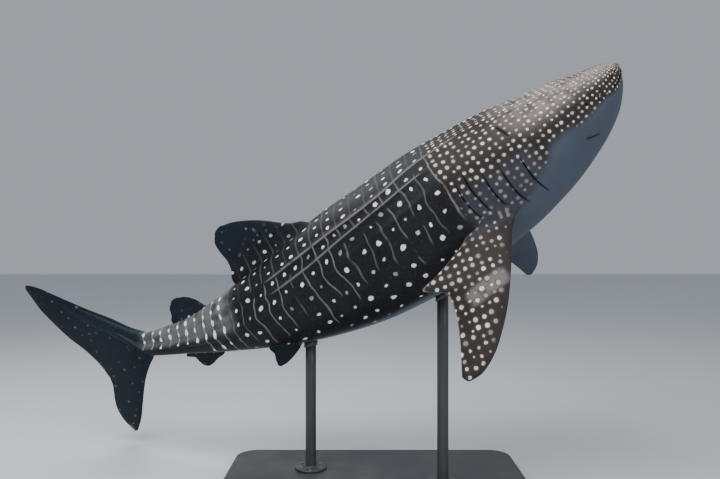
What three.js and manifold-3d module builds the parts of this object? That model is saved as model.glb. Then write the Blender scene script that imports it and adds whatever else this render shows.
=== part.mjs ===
// Whale shark, a still life-size model of a juvenile on a plain display stand.
//
// Millimetres, +Z up. The head points to +X, the right flank faces -Y, and the
// origin is the middle of the bounding box on the floor. The animal climbs, banks
// its back towards -Y and carries its tail flatter than its chest, so the body is
// lofted round a bent spine inside one turned group, and the stand stays upright.
//
// Lengths on the animal are fractions of the total length. A station runs from the
// snout (0) to the root of the tail fin (0.785). An angle runs round the section
// from the middle of the back (0) over the flank (90) to the middle of the belly
// (180), positive on the right side.

import * as THREE from 'three';
import { mergeVertices } from 'three/addons/utils/BufferGeometryUtils.js';
import Module from 'manifold-3d';

const wasm = await Module();
wasm.setup();

// Driving dimensions
const TOTAL_LENGTH = 5500;
const GAP = 0.3;
const SECTION_POWER = 2.3;

// Attitude of the whole animal, degrees
const CLIMB = 32.8;
const BANK = 19.1;
const HEADING = -18.5;

// Bend of the spine, radians per total length and per its square
const REFERENCE_STATION = 0.35;
const SIDE_BEND = -0.254;
const ARCH_BEND = -0.707;
const ARCH_CHANGE = -0.541;
const SPINE_STEP = 0.005;

// Where the body is parted
const NOSE = -0.006;
const HEAD_END = 0.135;
const GILLS_END = 0.264;
const TRUNK_MIDDLE = 0.43;
const TRUNK_END = 0.635;
const STALK_END = 0.785;
const TAIL_AXIS_END = 0.915;

// Half width, height above and depth below the spine, by station
const HALF_WIDTH = profile([
  [-0.006, 0.02], [0, 0.041], [0.012, 0.0575], [0.035, 0.0705], [0.075, 0.081], [0.13, 0.088],
  [0.2, 0.091], [0.29, 0.089], [0.39, 0.08], [0.48, 0.066], [0.57, 0.05], [0.65, 0.032],
  [0.72, 0.018], [0.785, 0.012], [0.82, 0.009], [0.88, 0.0055], [0.915, 0.003],
]);
const BACK_HEIGHT = profile([
  [-0.006, 0.003], [0, 0.0085], [0.012, 0.0165], [0.035, 0.0275], [0.075, 0.0438], [0.13, 0.0632],
  [0.2, 0.081], [0.29, 0.0934], [0.39, 0.0945], [0.48, 0.0862], [0.57, 0.0675], [0.65, 0.0467],
  [0.72, 0.0301], [0.785, 0.0208], [0.82, 0.0165], [0.88, 0.0125], [0.915, 0.008],
]);
const BELLY_DEPTH = profile([
  [-0.006, 0.005], [0, 0.0115], [0.012, 0.0279], [0.035, 0.0472], [0.075, 0.0643], [0.13, 0.0783],
  [0.2, 0.0868], [0.29, 0.089], [0.39, 0.0836], [0.48, 0.0697], [0.57, 0.0504], [0.65, 0.0343],
  [0.72, 0.0236], [0.785, 0.0182], [0.82, 0.0155], [0.88, 0.0115], [0.915, 0.0075],
]);
// Rise of the tail's axis into the upper lobe
const AXIS_RISE = profile([[0.785, 0], [0.8, 0.0085], [0.82, 0.021], [0.845, 0.038], [0.88, 0.061], [0.915, 0.086]]);

// Three ridges run along each flank, and the lowest one grows into the tail keel
const RIDGE_HEIGHT = 0.0028;
const RIDGE_HALF_WIDTH = 0.0065;
const RIDGE_FADE = 0.05;
const RIDGES = [
  { start: 0.16, end: 0.69, angle: profile([[0.16, 24], [0.25, 30], [0.32, 38], [0.46, 45], [0.6, 52], [0.785, 58]]) },
  { start: 0.22, end: 0.73, angle: profile([[0.16, 40], [0.22, 43], [0.36, 51.5], [0.46, 60], [0.6, 68], [0.785, 74]]) },
  { start: 0.25, end: 1, angle: profile([[0.16, 58], [0.25, 63], [0.32, 67], [0.46, 75], [0.6, 84], [0.68, 90], [0.785, 90]]) },
];
const KEEL_HEIGHT = profile([[0.58, 0], [0.65, 0.0035], [0.72, 0.0085], [0.785, 0.0105], [0.82, 0.004], [0.85, 0]]);
const BACK_RIDGE_HEIGHT = 0.0022;
const BACK_RIDGE = [0.1, 0.43];
const BACK_RIDGE_HALF_ANGLE = 4;

// Gill slits: station, and the angles where each starts and ends
const GILLS = [
  { station: 0.155, top: 76, bottom: 116 },
  { station: 0.18, top: 72, bottom: 112 },
  { station: 0.2, top: 68, bottom: 107 },
  { station: 0.218, top: 62, bottom: 101 },
  { station: 0.2325, top: 68, bottom: 97 },
];
const FLAP_RISE = 0.0019;
const FLAP_STEP = 0.0007;
const FLAP_FADE_ANGLE = 9;
const SLIT_WIDTH = 0.0018;
const SLIT_DEPTH = 0.0075;
const SLIT_LEAN = 0.007;
const SLIT_RINGS = 7;

// Mouth, nostrils, eyes and spiracles
const MOUTH_CORNER = 0.024;
const MOUTH_DROP = [0.0008, 0.0085];
const MOUTH_GAPE = 7;
const MOUTH_CUT_DEPTH = 45;
const LIP_RADIUS = 10;
const LIP_SINK = 5;
const NOSTRIL = { right: 178, aboveMouth: 27, radius: 9 };
const BARBEL = { length: 30, radius: 6, droop: 12, sides: 6 };
const EYE = { station: 0.044, angle: 93, radius: 19, sink: 9 };
const EYE_RIM_RADIUS = 7;
const SPIRACLE = { station: 0.061, angle: 88, radius: 11 };

// Fins as leading and trailing edges; pairs are aft and outward
const FIRST_DORSAL = {
  front: [[0.425, 0.05], [0.447, 0.0965], [0.47, 0.106], [0.506, 0.128], [0.532, 0.139], [0.555, 0.145], [0.573, 0.1465]],
  rear: [[0.588, 0.035], [0.614, 0.0675], [0.595, 0.082], [0.594, 0.097], [0.598, 0.112], [0.599, 0.127], [0.591, 0.1395]],
  thickness: 0.0065,
};
const SECOND_DORSAL = {
  front: [[0.655, 0.02], [0.667, 0.047], [0.677, 0.058], [0.691, 0.0655], [0.706, 0.0672]],
  rear: [[0.715, 0.005], [0.742, 0.0335], [0.7285, 0.042], [0.727, 0.053], [0.7195, 0.0628]],
  thickness: 0.003,
};
const ANAL = {
  front: [[0.655, -0.01], [0.668, -0.037], [0.682, -0.043], [0.692, -0.049], [0.699, -0.0515]],
  rear: [[0.7, -0.005], [0.731, -0.0285], [0.718, -0.033], [0.714, -0.041], [0.7095, -0.0485]],
  thickness: 0.003,
};
const CAUDAL_ROOT_FRONT = [0.77, -0.002];
const CAUDAL_NOTCH = [0.8805, -0.05];
const CAUDAL_UPPER = {
  front: [CAUDAL_ROOT_FRONT, [0.79, 0.0225], [0.812, 0.0355], [0.837, 0.0525], [0.871, 0.072], [0.91, 0.0965],
    [0.952, 0.123], [0.9685, 0.1285]],
  rear: [CAUDAL_NOTCH, [0.889, -0.025], [0.906, 0.003], [0.928, 0.03], [0.946, 0.059], [0.959, 0.083],
    [0.966, 0.104], [0.972, 0.1235]],
  thickness: 0.0062,
};
const CAUDAL_LOWER = {
  front: [CAUDAL_ROOT_FRONT, [0.787, -0.0225], [0.798, -0.0345], [0.815, -0.058], [0.835, -0.097], [0.851, -0.13],
    [0.866, -0.152]],
  rear: [CAUDAL_NOTCH, [0.8805, -0.0635], [0.884, -0.078], [0.8875, -0.092], [0.889, -0.111], [0.883, -0.134],
    [0.871, -0.1545]],
  thickness: 0.0055,
};
const PECTORAL = {
  front: [[0.006, -0.035], [0, 0], [0.012, 0.02], [0.03, 0.062], [0.05, 0.102], [0.067, 0.128], [0.086, 0.151],
    [0.107, 0.166], [0.125, 0.1695]],
  rear: [[0.05, -0.035], [0.066, 0.004], [0.112, 0.034], [0.139, 0.047], [0.113, 0.062], [0.1105, 0.084],
    [0.1135, 0.106], [0.12, 0.131], [0.131, 0.165]],
  thickness: 0.0085,
  bend: 0.004,
};
const PELVIC = {
  front: [[0.004, -0.02], [0.002, 0.002], [0.012, 0.016], [0.024, 0.027], [0.034, 0.032]],
  rear: [[0.034, -0.02], [0.052, 0.005], [0.044, 0.014], [0.042, 0.022], [0.0385, 0.03]],
  thickness: 0.0032,
  bend: 0,
};
// Attitude of the paired fins as forward, outward and upward parts of two directions
const RIGHT_PECTORAL_POSE = { station: 0.198, angle: 113, span: [-0.207, 0.656, -0.726], chord: [-0.965, -0.016, 0.26] };
const LEFT_PECTORAL_POSE = { station: 0.198, angle: -113, span: [0.36, 0.52, -0.78], chord: [-0.93, 0.2, -0.3] };
const RIGHT_PELVIC_POSE = { station: 0.533, angle: 148, span: [-0.3, 0.5, -0.81], chord: [-0.95, -0.05, 0.3] };
const LEFT_PELVIC_POSE = { station: 0.533, angle: -148, span: [-0.3, 0.5, -0.81], chord: [-0.95, -0.05, 0.3] };
const FIN_CHORD_POINTS = 7;
const FIN_RINGS_PER_POINT = 2;
const FIN_EDGE = 1.5;

// Stand
const BASE = { length: 2300, width: 1250, thickness: 60, corner: 160, bevel: 8 };
const TAIL_CLEARANCE = 45;
const ROD = { radius: 42, sides: 28 };
const FOOT = { radius: 125, height: 18, bevel: 7 };
const ROD_STATIONS = { front: 0.275, rear: 0.5 };

// Resolution of the body
const HEAD_STATIONS = [NOSE, -0.0045, -0.002, 0.002, 0.007, 0.013, 0.021, 0.031, 0.043, 0.058, 0.076, 0.096, 0.116, HEAD_END];
const BODY_RING_SPACING = 0.0155;
const BACK_SPLITS = 2;
const BETWEEN_RIDGE_SPLITS = 1;
const BELLY_SPLITS = 6;

// Colours
const DARK_SKIN = 0x2b2f36;
const HEAD_SKIN = 0x4a433f;
const FIN_SKIN = 0x1e2a36;
const EYE_COLOUR = 0x0b0c0e;
const STAND_PAINT = 0x2f3133;

const radians = THREE.MathUtils.degToRad;

/** A monotone cubic through [station, value] pairs, held level past both ends. */
function profile(points) {
  const count = points.length;
  const steps = points.slice(1).map((point, i) => (point[1] - points[i][1]) / (point[0] - points[i][0]));
  const slopes = points.map((point, i) => {
    if (i === 0 || i === count - 1 || steps[i - 1] * steps[i] <= 0) return 0;
    return 2 / (1 / steps[i - 1] + 1 / steps[i]);
  });
  slopes[0] = steps[0];
  slopes[count - 1] = steps[count - 2];
  return (x) => {
    if (x <= points[0][0]) return points[0][1];
    if (x >= points[count - 1][0]) return points[count - 1][1];
    const i = points.findIndex((point) => point[0] > x) - 1;
    const width = points[i + 1][0] - points[i][0];
    const t = (x - points[i][0]) / width;
    const rise = points[i + 1][1] - points[i][1];
    const start = slopes[i] * width;
    const end = slopes[i + 1] * width;
    return points[i][1] + start * t + (3 * rise - 2 * start - end) * t * t + (start + end - 2 * rise) * t ** 3;
  };
}

/** 0 before the first edge, 1 after the second, and smooth between. */
function ramp(x, from, to) {
  return THREE.MathUtils.smoothstep(x, from, to);
}

// The bent spine

/** Direction from tail to head, and the left side, at a station. */
function heading(station) {
  const along = station - REFERENCE_STATION;
  const side = SIDE_BEND * along;
  const arch = ARCH_BEND * along + ARCH_CHANGE * along * along;
  const forward = new THREE.Vector3(Math.cos(side) * Math.cos(arch), Math.sin(side) * Math.cos(arch), Math.sin(arch));
  const left = new THREE.Vector3(-Math.sin(side), Math.cos(side), 0);
  return { forward, left };
}

const frames = new Map();

/** Centre, forward, left and up at a station; past the stalk the spine runs straight. */
function frameAt(station) {
  if (frames.has(station)) return frames.get(station);
  const bent = Math.min(station, STALK_END);
  const count = Math.max(1, Math.ceil(Math.abs(bent - REFERENCE_STATION) / SPINE_STEP));
  const step = (bent - REFERENCE_STATION) / count;
  const centre = new THREE.Vector3();
  for (let i = 0; i < count; i += 1) {
    const middle = REFERENCE_STATION + (i + 0.5) * step;
    centre.addScaledVector(heading(middle).forward, -step * TOTAL_LENGTH);
  }
  const { forward, left } = heading(bent);
  centre.addScaledVector(forward, -(station - bent) * TOTAL_LENGTH);
  const up = forward.clone().cross(left);
  const frame = { centre, forward, left, up };
  frames.set(station, frame);
  return frame;
}

/** A point given by its station, its place to the right and its height, both in millimetres. */
function place(station, right, height) {
  const { centre, left, up } = frameAt(station);
  return centre.clone().addScaledVector(left, -right).addScaledVector(up, height);
}

// The body's skin

/** How far the flank ridges and the ridge of the back stand out at an angle in degrees. */
function ridgeLift(station, angle) {
  let lift = 0;
  const side = Math.abs(angle);
  RIDGES.forEach((ridge, index) => {
    const fade = ramp(station, ridge.start, ridge.start + RIDGE_FADE) * (1 - ramp(station, ridge.end - RIDGE_FADE, ridge.end));
    const keel = index === RIDGES.length - 1 ? KEEL_HEIGHT(station) : 0;
    const reach = 1 - Math.abs(side - ridge.angle(station)) / ridgeHalfAngle(station);
    if (reach > 0) lift += (fade * RIDGE_HEIGHT * (1 - ramp(station, 0.62, 0.7)) + keel) * reach;
  });
  const backReach = 1 - side / BACK_RIDGE_HALF_ANGLE;
  const backFade = ramp(station, BACK_RIDGE[0], BACK_RIDGE[0] + RIDGE_FADE) * (1 - ramp(station, BACK_RIDGE[1], BACK_RIDGE[1] + RIDGE_FADE));
  if (backReach > 0) lift += BACK_RIDGE_HEIGHT * backFade * backReach;
  return lift;
}

/** Half the angle that a ridge takes up, wider on the narrow tail stalk. */
function ridgeHalfAngle(station) {
  const radius = Math.max(HALF_WIDTH(station), 0.03);
  return Math.min(THREE.MathUtils.radToDeg(RIDGE_HALF_WIDTH / radius), 11);
}

/** How far the gill flaps stand out: each rises towards its slit and drops behind it. */
function flapLift(station, angle) {
  const side = Math.abs(angle);
  let previous = HEAD_END;
  for (const gill of GILLS) {
    if (station > previous && station <= gill.station) {
      const along = (station - previous) / (gill.station - previous);
      const window = ramp(side, gill.top - FLAP_FADE_ANGLE, gill.top + FLAP_FADE_ANGLE)
        * (1 - ramp(side, gill.bottom - FLAP_FADE_ANGLE, gill.bottom + FLAP_FADE_ANGLE));
      return FLAP_RISE * along * along * window;
    }
    previous = gill.station;
  }
  return 0;
}

/** A point of the skin at a station and angle, moved outward by some millimetres. */
function skinPoint(station, angle, outward = 0) {
  const turn = radians(angle);
  const width = HALF_WIDTH(station);
  const height = Math.cos(turn) > 0 ? BACK_HEIGHT(station) : BELLY_DEPTH(station);
  const power = 2 / SECTION_POWER;
  const across = Math.sign(Math.sin(turn)) * Math.abs(Math.sin(turn)) ** power;
  const upward = Math.sign(Math.cos(turn)) * Math.abs(Math.cos(turn)) ** power;
  const normal = new THREE.Vector2(
    Math.sign(across) * Math.abs(across) ** (SECTION_POWER - 1) / width,
    Math.sign(upward) * Math.abs(upward) ** (SECTION_POWER - 1) / height,
  ).normalize();
  const lift = (ridgeLift(station, angle) + flapLift(station, angle)) * TOTAL_LENGTH + outward;
  const rise = AXIS_RISE(station) * TOTAL_LENGTH;
  const right = across * width * TOTAL_LENGTH + normal.x * lift;
  return place(station, right, upward * height * TOTAL_LENGTH + normal.y * lift + rise);
}

/** Angles of one side's ring points, with three on every ridge. */
function sideAngles(station) {
  const half = ridgeHalfAngle(station);
  const angles = [0, BACK_RIDGE_HALF_ANGLE];
  let last = BACK_RIDGE_HALF_ANGLE;
  RIDGES.forEach((ridge, index) => {
    const centre = ridge.angle(station);
    const splits = index === 0 ? BACK_SPLITS : BETWEEN_RIDGE_SPLITS;
    for (let i = 1; i <= splits; i += 1) angles.push(last + ((centre - half - last) * i) / (splits + 1));
    angles.push(centre - half, centre, centre + half);
    last = centre + half;
  });
  for (let i = 1; i <= BELLY_SPLITS; i += 1) angles.push(last + ((180 - last) * i) / (BELLY_SPLITS + 1));
  return angles;
}

/** One closed ring of the skin, down the right side and up the left. */
function skinRing(station, outward = 0) {
  const right = sideAngles(station);
  const left = right.slice(1).reverse().map((angle) => -angle);
  return [...right, 180, ...left].map((angle) => skinPoint(station, angle, outward));
}

// Meshes and solids

/** Closed geometry from rings of equal length, joined in order, with a cap function for both ends. */
function loft(rings, cap = fanCap) {
  const size = rings[0].length;
  const points = rings.flat();
  const index = [];
  for (let ring = 0; ring < rings.length - 1; ring += 1) {
    for (let i = 0; i < size; i += 1) {
      const next = (i + 1) % size;
      const a = ring * size + i;
      const b = ring * size + next;
      index.push(a, b, a + size, b, b + size, a + size);
    }
  }
  const lastRing = (rings.length - 1) * size;
  index.push(...cap(points, 0, size, true), ...cap(points, lastRing, size, false));
  return closedGeometry(points, index);
}

/** Triangles from a ring to a new point at its middle. */
function fanCap(points, first, size, reversed) {
  const middle = new THREE.Vector3();
  for (let i = 0; i < size; i += 1) middle.addScaledVector(points[first + i], 1 / size);
  const centre = points.push(middle) - 1;
  const triangles = [];
  for (let i = 0; i < size; i += 1) {
    const a = first + i;
    const b = first + ((i + 1) % size);
    triangles.push(...(reversed ? [b, a, centre] : [a, b, centre]));
  }
  return triangles;
}

/** Triangles straight across a thin ring whose first point is its leading edge. */
function stripCap(points, first, size, reversed) {
  const triangles = [];
  const add = (a, b, c) => triangles.push(...(reversed ? [b, a, c] : [a, b, c]).map((i) => first + i));
  for (let i = 1; i < size / 2; i += 1) {
    const near = i;
    const far = size - i;
    const nearBefore = i - 1;
    const farBefore = (size - i + 1) % size;
    if (nearBefore !== farBefore) add(nearBefore, near, farBefore);
    if (near !== far) add(near, far, farBefore);
  }
  return triangles;
}

/** Indexed geometry whose faces point outward. */
function closedGeometry(points, index) {
  let volume = 0;
  for (let i = 0; i < index.length; i += 3) {
    const [a, b, c] = [points[index[i]], points[index[i + 1]], points[index[i + 2]]];
    volume += a.dot(b.clone().cross(c));
  }
  if (volume < 0) index.reverse();
  const geometry = new THREE.BufferGeometry();
  geometry.setAttribute('position', new THREE.Float32BufferAttribute(points.flatMap((p) => [p.x, p.y, p.z]), 3));
  geometry.setIndex(index);
  return geometry;
}

/** A solid for joins and cuts. */
function toSolid(geometry) {
  const bare = geometry.clone();
  bare.deleteAttribute('normal');
  bare.deleteAttribute('uv');
  const merged = mergeVertices(bare, 1e-3);
  return new wasm.Manifold(new wasm.Mesh({
    numProp: 3,
    vertProperties: new Float32Array(merged.attributes.position.array),
    triVerts: new Uint32Array(merged.index.array),
  }));
}

/** Geometry of the largest closed surface of a solid. */
function toGeometry(solid) {
  const pieces = solid.decompose().sort((a, b) => b.volume() - a.volume());
  const mesh = pieces[0].getMesh();
  const geometry = new THREE.BufferGeometry();
  geometry.setAttribute('position', new THREE.BufferAttribute(new Float32Array(mesh.vertProperties), 3));
  geometry.setIndex(new THREE.BufferAttribute(new Uint32Array(mesh.triVerts), 1));
  return geometry;
}

/** A named mesh with its own material. */
function piece(name, geometry, color, roughness = 0.55, metalness = 0) {
  const material = new THREE.MeshStandardMaterial({ color, roughness, metalness });
  const mesh = new THREE.Mesh(geometry, material);
  mesh.name = name;
  return mesh;
}

// Lengths of the body

/** Evenly spaced stations between two ends, both included. */
function evenStations(from, to) {
  const count = Math.ceil((to - from) / BODY_RING_SPACING);
  return Array.from({ length: count + 1 }, (_, i) => from + ((to - from) * i) / count);
}

/** Stations of the gill region, with a pair at every slit where the flap ends. */
function gillStations() {
  const stations = [HEAD_END];
  let previous = HEAD_END;
  for (const gill of GILLS) {
    stations.push((previous + gill.station) / 2, gill.station, gill.station + FLAP_STEP);
    previous = gill.station;
  }
  return [...stations, (previous + GILLS_END) / 2, GILLS_END];
}

/** Moves the two end stations in by half the gap, so that neighbours don't touch. */
function trimmed(stations, trimStart = true) {
  const half = GAP / 2 / TOTAL_LENGTH;
  const out = [...stations];
  if (trimStart) out[0] += half;
  out[out.length - 1] -= half;
  return out;
}

/** One length of the body as closed geometry. */
function bodyLength(stations, outward = 0) {
  return loft(stations.map((station) => skinRing(station, outward)));
}

/** The whole body as one solid, larger all round by the gap, to cut what grows from it. */
function bodyCutter() {
  const stations = [
    ...HEAD_STATIONS,
    ...gillStations().slice(1),
    ...evenStations(GILLS_END, TRUNK_MIDDLE).slice(1),
    ...evenStations(TRUNK_MIDDLE, TRUNK_END).slice(1),
    ...evenStations(TRUNK_END, STALK_END).slice(1),
  ];
  stations[0] -= GAP / TOTAL_LENGTH;
  stations[stations.length - 1] += GAP / 2 / TOTAL_LENGTH;
  return toSolid(bodyLength(stations, GAP));
}

// The head's own forms

/** Height of the mouth line at a station, millimetres. */
function mouthHeight(station) {
  const along = (station - NOSE) / (MOUTH_CORNER - NOSE);
  return -THREE.MathUtils.lerp(MOUTH_DROP[0], MOUTH_DROP[1], Math.max(0, along) ** 0.8) * TOTAL_LENGTH;
}

/** Half the width of the body at a station and height, millimetres. */
function halfWidthAt(station, height) {
  const reach = height > 0 ? BACK_HEIGHT(station) : BELLY_DEPTH(station);
  const part = Math.min(1, Math.abs(height) / (reach * TOTAL_LENGTH));
  return HALF_WIDTH(station) * TOTAL_LENGTH * (1 - part ** SECTION_POWER) ** (1 / SECTION_POWER);
}

/** The point of the snout's front at a place to the right and a height. */
function snoutFront(right, height) {
  let near = NOSE;
  let far = MOUTH_CORNER;
  for (let i = 0; i < 20; i += 1) {
    const middle = (near + far) / 2;
    if (halfWidthAt(middle, height) < Math.abs(right)) near = middle;
    else far = middle;
  }
  return place(far, right, height);
}

/** The mouth line from the right corner round the snout to the left corner. */
function mouthPath() {
  const stations = [MOUTH_CORNER, 0.02, 0.013, 0.007, 0.002, -0.002, -0.0045, NOSE];
  const flank = (station, side) => place(station, side * halfWidthAt(station, mouthHeight(station)), mouthHeight(station));
  const right = stations.map((station) => flank(station, 1));
  const left = stations.map((station) => flank(station, -1)).reverse();
  const middle = place(NOSE - 0.0004, 0, mouthHeight(NOSE));
  return [...right, middle, ...left];
}

/** Directions out of the snout in the plane of the mouth, one for each path point. */
function mouthNormals(path) {
  const { centre, up } = frameAt(0.03);
  return path.map((point, i) => {
    const before = path[Math.max(0, i - 1)];
    const after = path[Math.min(path.length - 1, i + 1)];
    const normal = after.clone().sub(before).cross(up).normalize();
    return normal.dot(point.clone().sub(centre)) < 0 ? normal.negate() : normal;
  });
}

/** The thin curved slot that parts the jaws. */
function mouthCut() {
  const path = mouthPath();
  const normals = mouthNormals(path);
  const { up } = frameAt(0);
  return loft(path.map((point, i) => {
    const end = i === 0 || i === path.length - 1;
    const depth = end ? MOUTH_CUT_DEPTH / 3 : MOUTH_CUT_DEPTH;
    const half = end ? MOUTH_GAPE / 5 : MOUTH_GAPE / 2;
    return [[2 * LIP_RADIUS, half], [2 * LIP_RADIUS, -half], [-depth, -half], [-depth, half]].map(([out, height]) => point
      .clone()
      .addScaledVector(normals[i], out)
      .addScaledVector(up, height));
  }));
}

/** A lip as a tapered roll along the mouth line, above it or below it. */
function lip(side) {
  const path = mouthPath();
  const normals = mouthNormals(path);
  const { up } = frameAt(0);
  const sides = 6;
  return loft(path.map((point, i) => {
    const fromEnd = Math.min(i, path.length - 1 - i) / 3;
    const radius = LIP_RADIUS * Math.min(1, 0.45 + 0.55 * fromEnd);
    return Array.from({ length: sides }, (_, k) => {
      const turn = (2 * Math.PI * k) / sides;
      return point
        .clone()
        .addScaledVector(normals[i], Math.cos(turn) * radius - LIP_SINK)
        .addScaledVector(up, Math.sin(turn) * radius + side * (LIP_RADIUS * 0.75 + MOUTH_GAPE / 2));
    });
  }));
}

/** A ball at a skin point, moved in by a depth. */
function ballAt(station, angle, radius, sink, segments = 16) {
  const geometry = new THREE.SphereGeometry(radius, segments, Math.round(segments * 0.7));
  const centre = skinPoint(station, angle, -sink);
  geometry.translate(centre.x, centre.y, centre.z);
  return geometry;
}

/** The raised rim round an eye, laid on the skin. */
function eyeRim(side) {
  const rim = new THREE.TorusGeometry(EYE.radius + 2, EYE_RIM_RADIUS, 6, 18);
  const outward = skinPoint(EYE.station, side * EYE.angle, 10).sub(skinPoint(EYE.station, side * EYE.angle)).normalize();
  rim.applyQuaternion(new THREE.Quaternion().setFromUnitVectors(new THREE.Vector3(0, 0, 1), outward));
  const centre = skinPoint(EYE.station, side * EYE.angle, -EYE_RIM_RADIUS * 0.45);
  return rim.translate(centre.x, centre.y, centre.z);
}

/** Where a nostril opens above the mouth. */
function nostrilCentre(side) {
  return snoutFront(side * NOSTRIL.right, mouthHeight(0) + NOSTRIL.aboveMouth);
}

/** The opening of a nostril. */
function nostrilCut(side) {
  const { x, y, z } = nostrilCentre(side);
  return new THREE.SphereGeometry(NOSTRIL.radius, 9, 6).translate(x, y, z);
}

/** The short barbel on the inner edge of a nostril: a drooping cone. */
function barbel(side) {
  const { forward, left, up } = frameAt(0);
  const root = nostrilCentre(side)
    .addScaledVector(left, side * (NOSTRIL.radius + BARBEL.radius))
    .addScaledVector(forward, -BARBEL.radius);
  const rings = [0, 0.35, 0.7, 1].map((part) => {
    const radius = BARBEL.radius * (1 - 0.7 * part);
    return Array.from({ length: BARBEL.sides }, (_, k) => {
      const turn = (2 * Math.PI * k) / BARBEL.sides;
      return root
        .clone()
        .addScaledVector(forward, part * BARBEL.length)
        .addScaledVector(left, Math.cos(turn) * radius)
        .addScaledVector(up, Math.sin(turn) * radius - part * part * BARBEL.droop);
    });
  });
  return loft(rings);
}

/** The head with its mouth, lips, nostrils, eye seats and spiracles. */
function head() {
  let solid = toSolid(bodyLength(trimmed(HEAD_STATIONS, false)));
  for (const side of [1, -1]) {
    solid = solid.add(toSolid(lip(side))).add(toSolid(eyeRim(side))).add(toSolid(barbel(side)));
  }
  solid = solid.subtract(toSolid(mouthCut()));
  for (const side of [1, -1]) {
    const seat = ballAt(EYE.station, side * EYE.angle, EYE.radius + GAP * 1.4, EYE.sink);
    const spiracle = ballAt(SPIRACLE.station, side * SPIRACLE.angle, SPIRACLE.radius, SPIRACLE.radius * 0.3, 9);
    solid = solid.subtract(toSolid(seat)).subtract(toSolid(spiracle)).subtract(toSolid(nostrilCut(side)));
  }
  return toGeometry(solid);
}

// The gill region

/** The cut of one slit: a curved blade that leans forward under the flap. */
function slitCut(gill, side) {
  const count = SLIT_RINGS;
  return loft(Array.from({ length: count }, (_, i) => {
    const part = i / (count - 1);
    const angle = side * THREE.MathUtils.lerp(gill.top, gill.bottom, part);
    const open = Math.sin(Math.PI * (0.08 + 0.84 * part)) ** 0.6;
    const depth = SLIT_DEPTH * TOTAL_LENGTH * open;
    const lean = SLIT_LEAN * open;
    const width = SLIT_WIDTH * (0.35 + 0.65 * open);
    const over = FLAP_RISE * TOTAL_LENGTH * 1.6;
    const start = gill.station;
    return [
      skinPoint(start, angle, over),
      skinPoint(start + width, angle, over + 2),
      skinPoint(start + width - lean, angle, -depth),
      skinPoint(start - lean, angle, -depth),
    ];
  }));
}

/** The gill region with its five slits on each side. */
function gillRegion() {
  let solid = toSolid(bodyLength(trimmed(gillStations())));
  for (const gill of GILLS) {
    for (const side of [1, -1]) solid = solid.subtract(toSolid(slitCut(gill, side)));
  }
  return toGeometry(solid);
}

// Fins

/** A smooth planar curve through [aft, outward] pairs. */
function edgeCurve(pairs) {
  return new THREE.CatmullRomCurve3(pairs.map(([aft, out]) => new THREE.Vector3(aft, out, 0)), false, 'centripetal');
}

/** Half thickness along a chord: round in front, thin behind, 1 at its thickest. */
function foil(part) {
  return 2.22 * Math.sqrt(part) * (1 - part) ** 0.85;
}

/** A fin as closed geometry; at(aft, out, half) puts a point of its plane and its thickness in space. */
function fin(shape, at) {
  const front = edgeCurve(shape.front);
  const rear = edgeCurve(shape.rear);
  const rings = [];
  const count = (shape.front.length - 1) * FIN_RINGS_PER_POINT;
  for (let i = 0; i <= count; i += 1) {
    const along = i / count;
    const start = front.getPoint(along);
    const end = rear.getPoint(along);
    const thickness = shape.thickness * TOTAL_LENGTH * (1 - 0.78 * along);
    const point = (part, side) => {
      const middle = start.clone().lerp(end, part);
      const half = Math.max(thickness * foil(part), part > 0 ? FIN_EDGE : 0);
      return at(middle.x, middle.y, side * half);
    };
    const parts = Array.from({ length: FIN_CHORD_POINTS + 1 }, (_, k) => (1 - Math.cos((Math.PI * k) / FIN_CHORD_POINTS)) / 2);
    rings.push([...parts.map((part) => point(part, 1)), ...parts.slice(1).reverse().map((part) => point(part, -1))]);
  }
  return loft(rings, stripCap);
}

/** Puts a fin of the middle plane in space: aft is a station, out is a height. */
function middlePlane(aft, out, half) {
  return place(aft, half, out * TOTAL_LENGTH);
}

/** Puts a paired fin in space from its root on the skin and its two directions. */
function pairedPlane(pose, shape) {
  const side = Math.sign(pose.angle);
  const { forward, left, up } = frameAt(pose.station);
  const toSpace = ([ahead, outward, upward]) => new THREE.Vector3()
    .addScaledVector(forward, ahead)
    .addScaledVector(left, -side * outward)
    .addScaledVector(up, upward)
    .normalize();
  const span = toSpace(pose.span);
  const chord = toSpace(pose.chord);
  chord.addScaledVector(span, -chord.dot(span)).normalize();
  const normal = span.clone().cross(chord).multiplyScalar(side).normalize();
  const root = skinPoint(pose.station, pose.angle);
  const reach = shape.front[shape.front.length - 1][1];
  return (aft, out, half) => {
    const curl = shape.bend * Math.max(0, out / reach) ** 2;
    return root
      .clone()
      .addScaledVector(chord, aft * TOTAL_LENGTH)
      .addScaledVector(span, out * TOTAL_LENGTH)
      .addScaledVector(normal, half + curl * TOTAL_LENGTH);
  };
}

/** Cuts a fin off at the skin that it grows from. */
function rooted(geometry, cutter) {
  return toGeometry(toSolid(geometry).subtract(cutter));
}

/** The core of the tail fin, which carries the axis of the stalk into the upper lobe. */
function tailAxis(outward) {
  const stations = evenStations(STALK_END, TAIL_AXIS_END);
  stations[0] += GAP / 2 / TOTAL_LENGTH;
  return toSolid(bodyLength(stations, outward));
}

/** The upper and the lower lobe of the tail fin, parted along the line to the notch. */
function caudalLobes(cutter) {
  const upperBlade = toSolid(fin(CAUDAL_UPPER, middlePlane)).subtract(cutter);
  const lowered = (aft, out, half) => middlePlane(aft, out - GAP / TOTAL_LENGTH, half);
  const lowerBlade = toSolid(fin(CAUDAL_LOWER, lowered)).subtract(cutter);
  const upper = upperBlade.add(tailAxis(0));
  const lower = lowerBlade.subtract(tailAxis(GAP));
  return [toGeometry(upper), toGeometry(lower)];
}

// Stand

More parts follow.
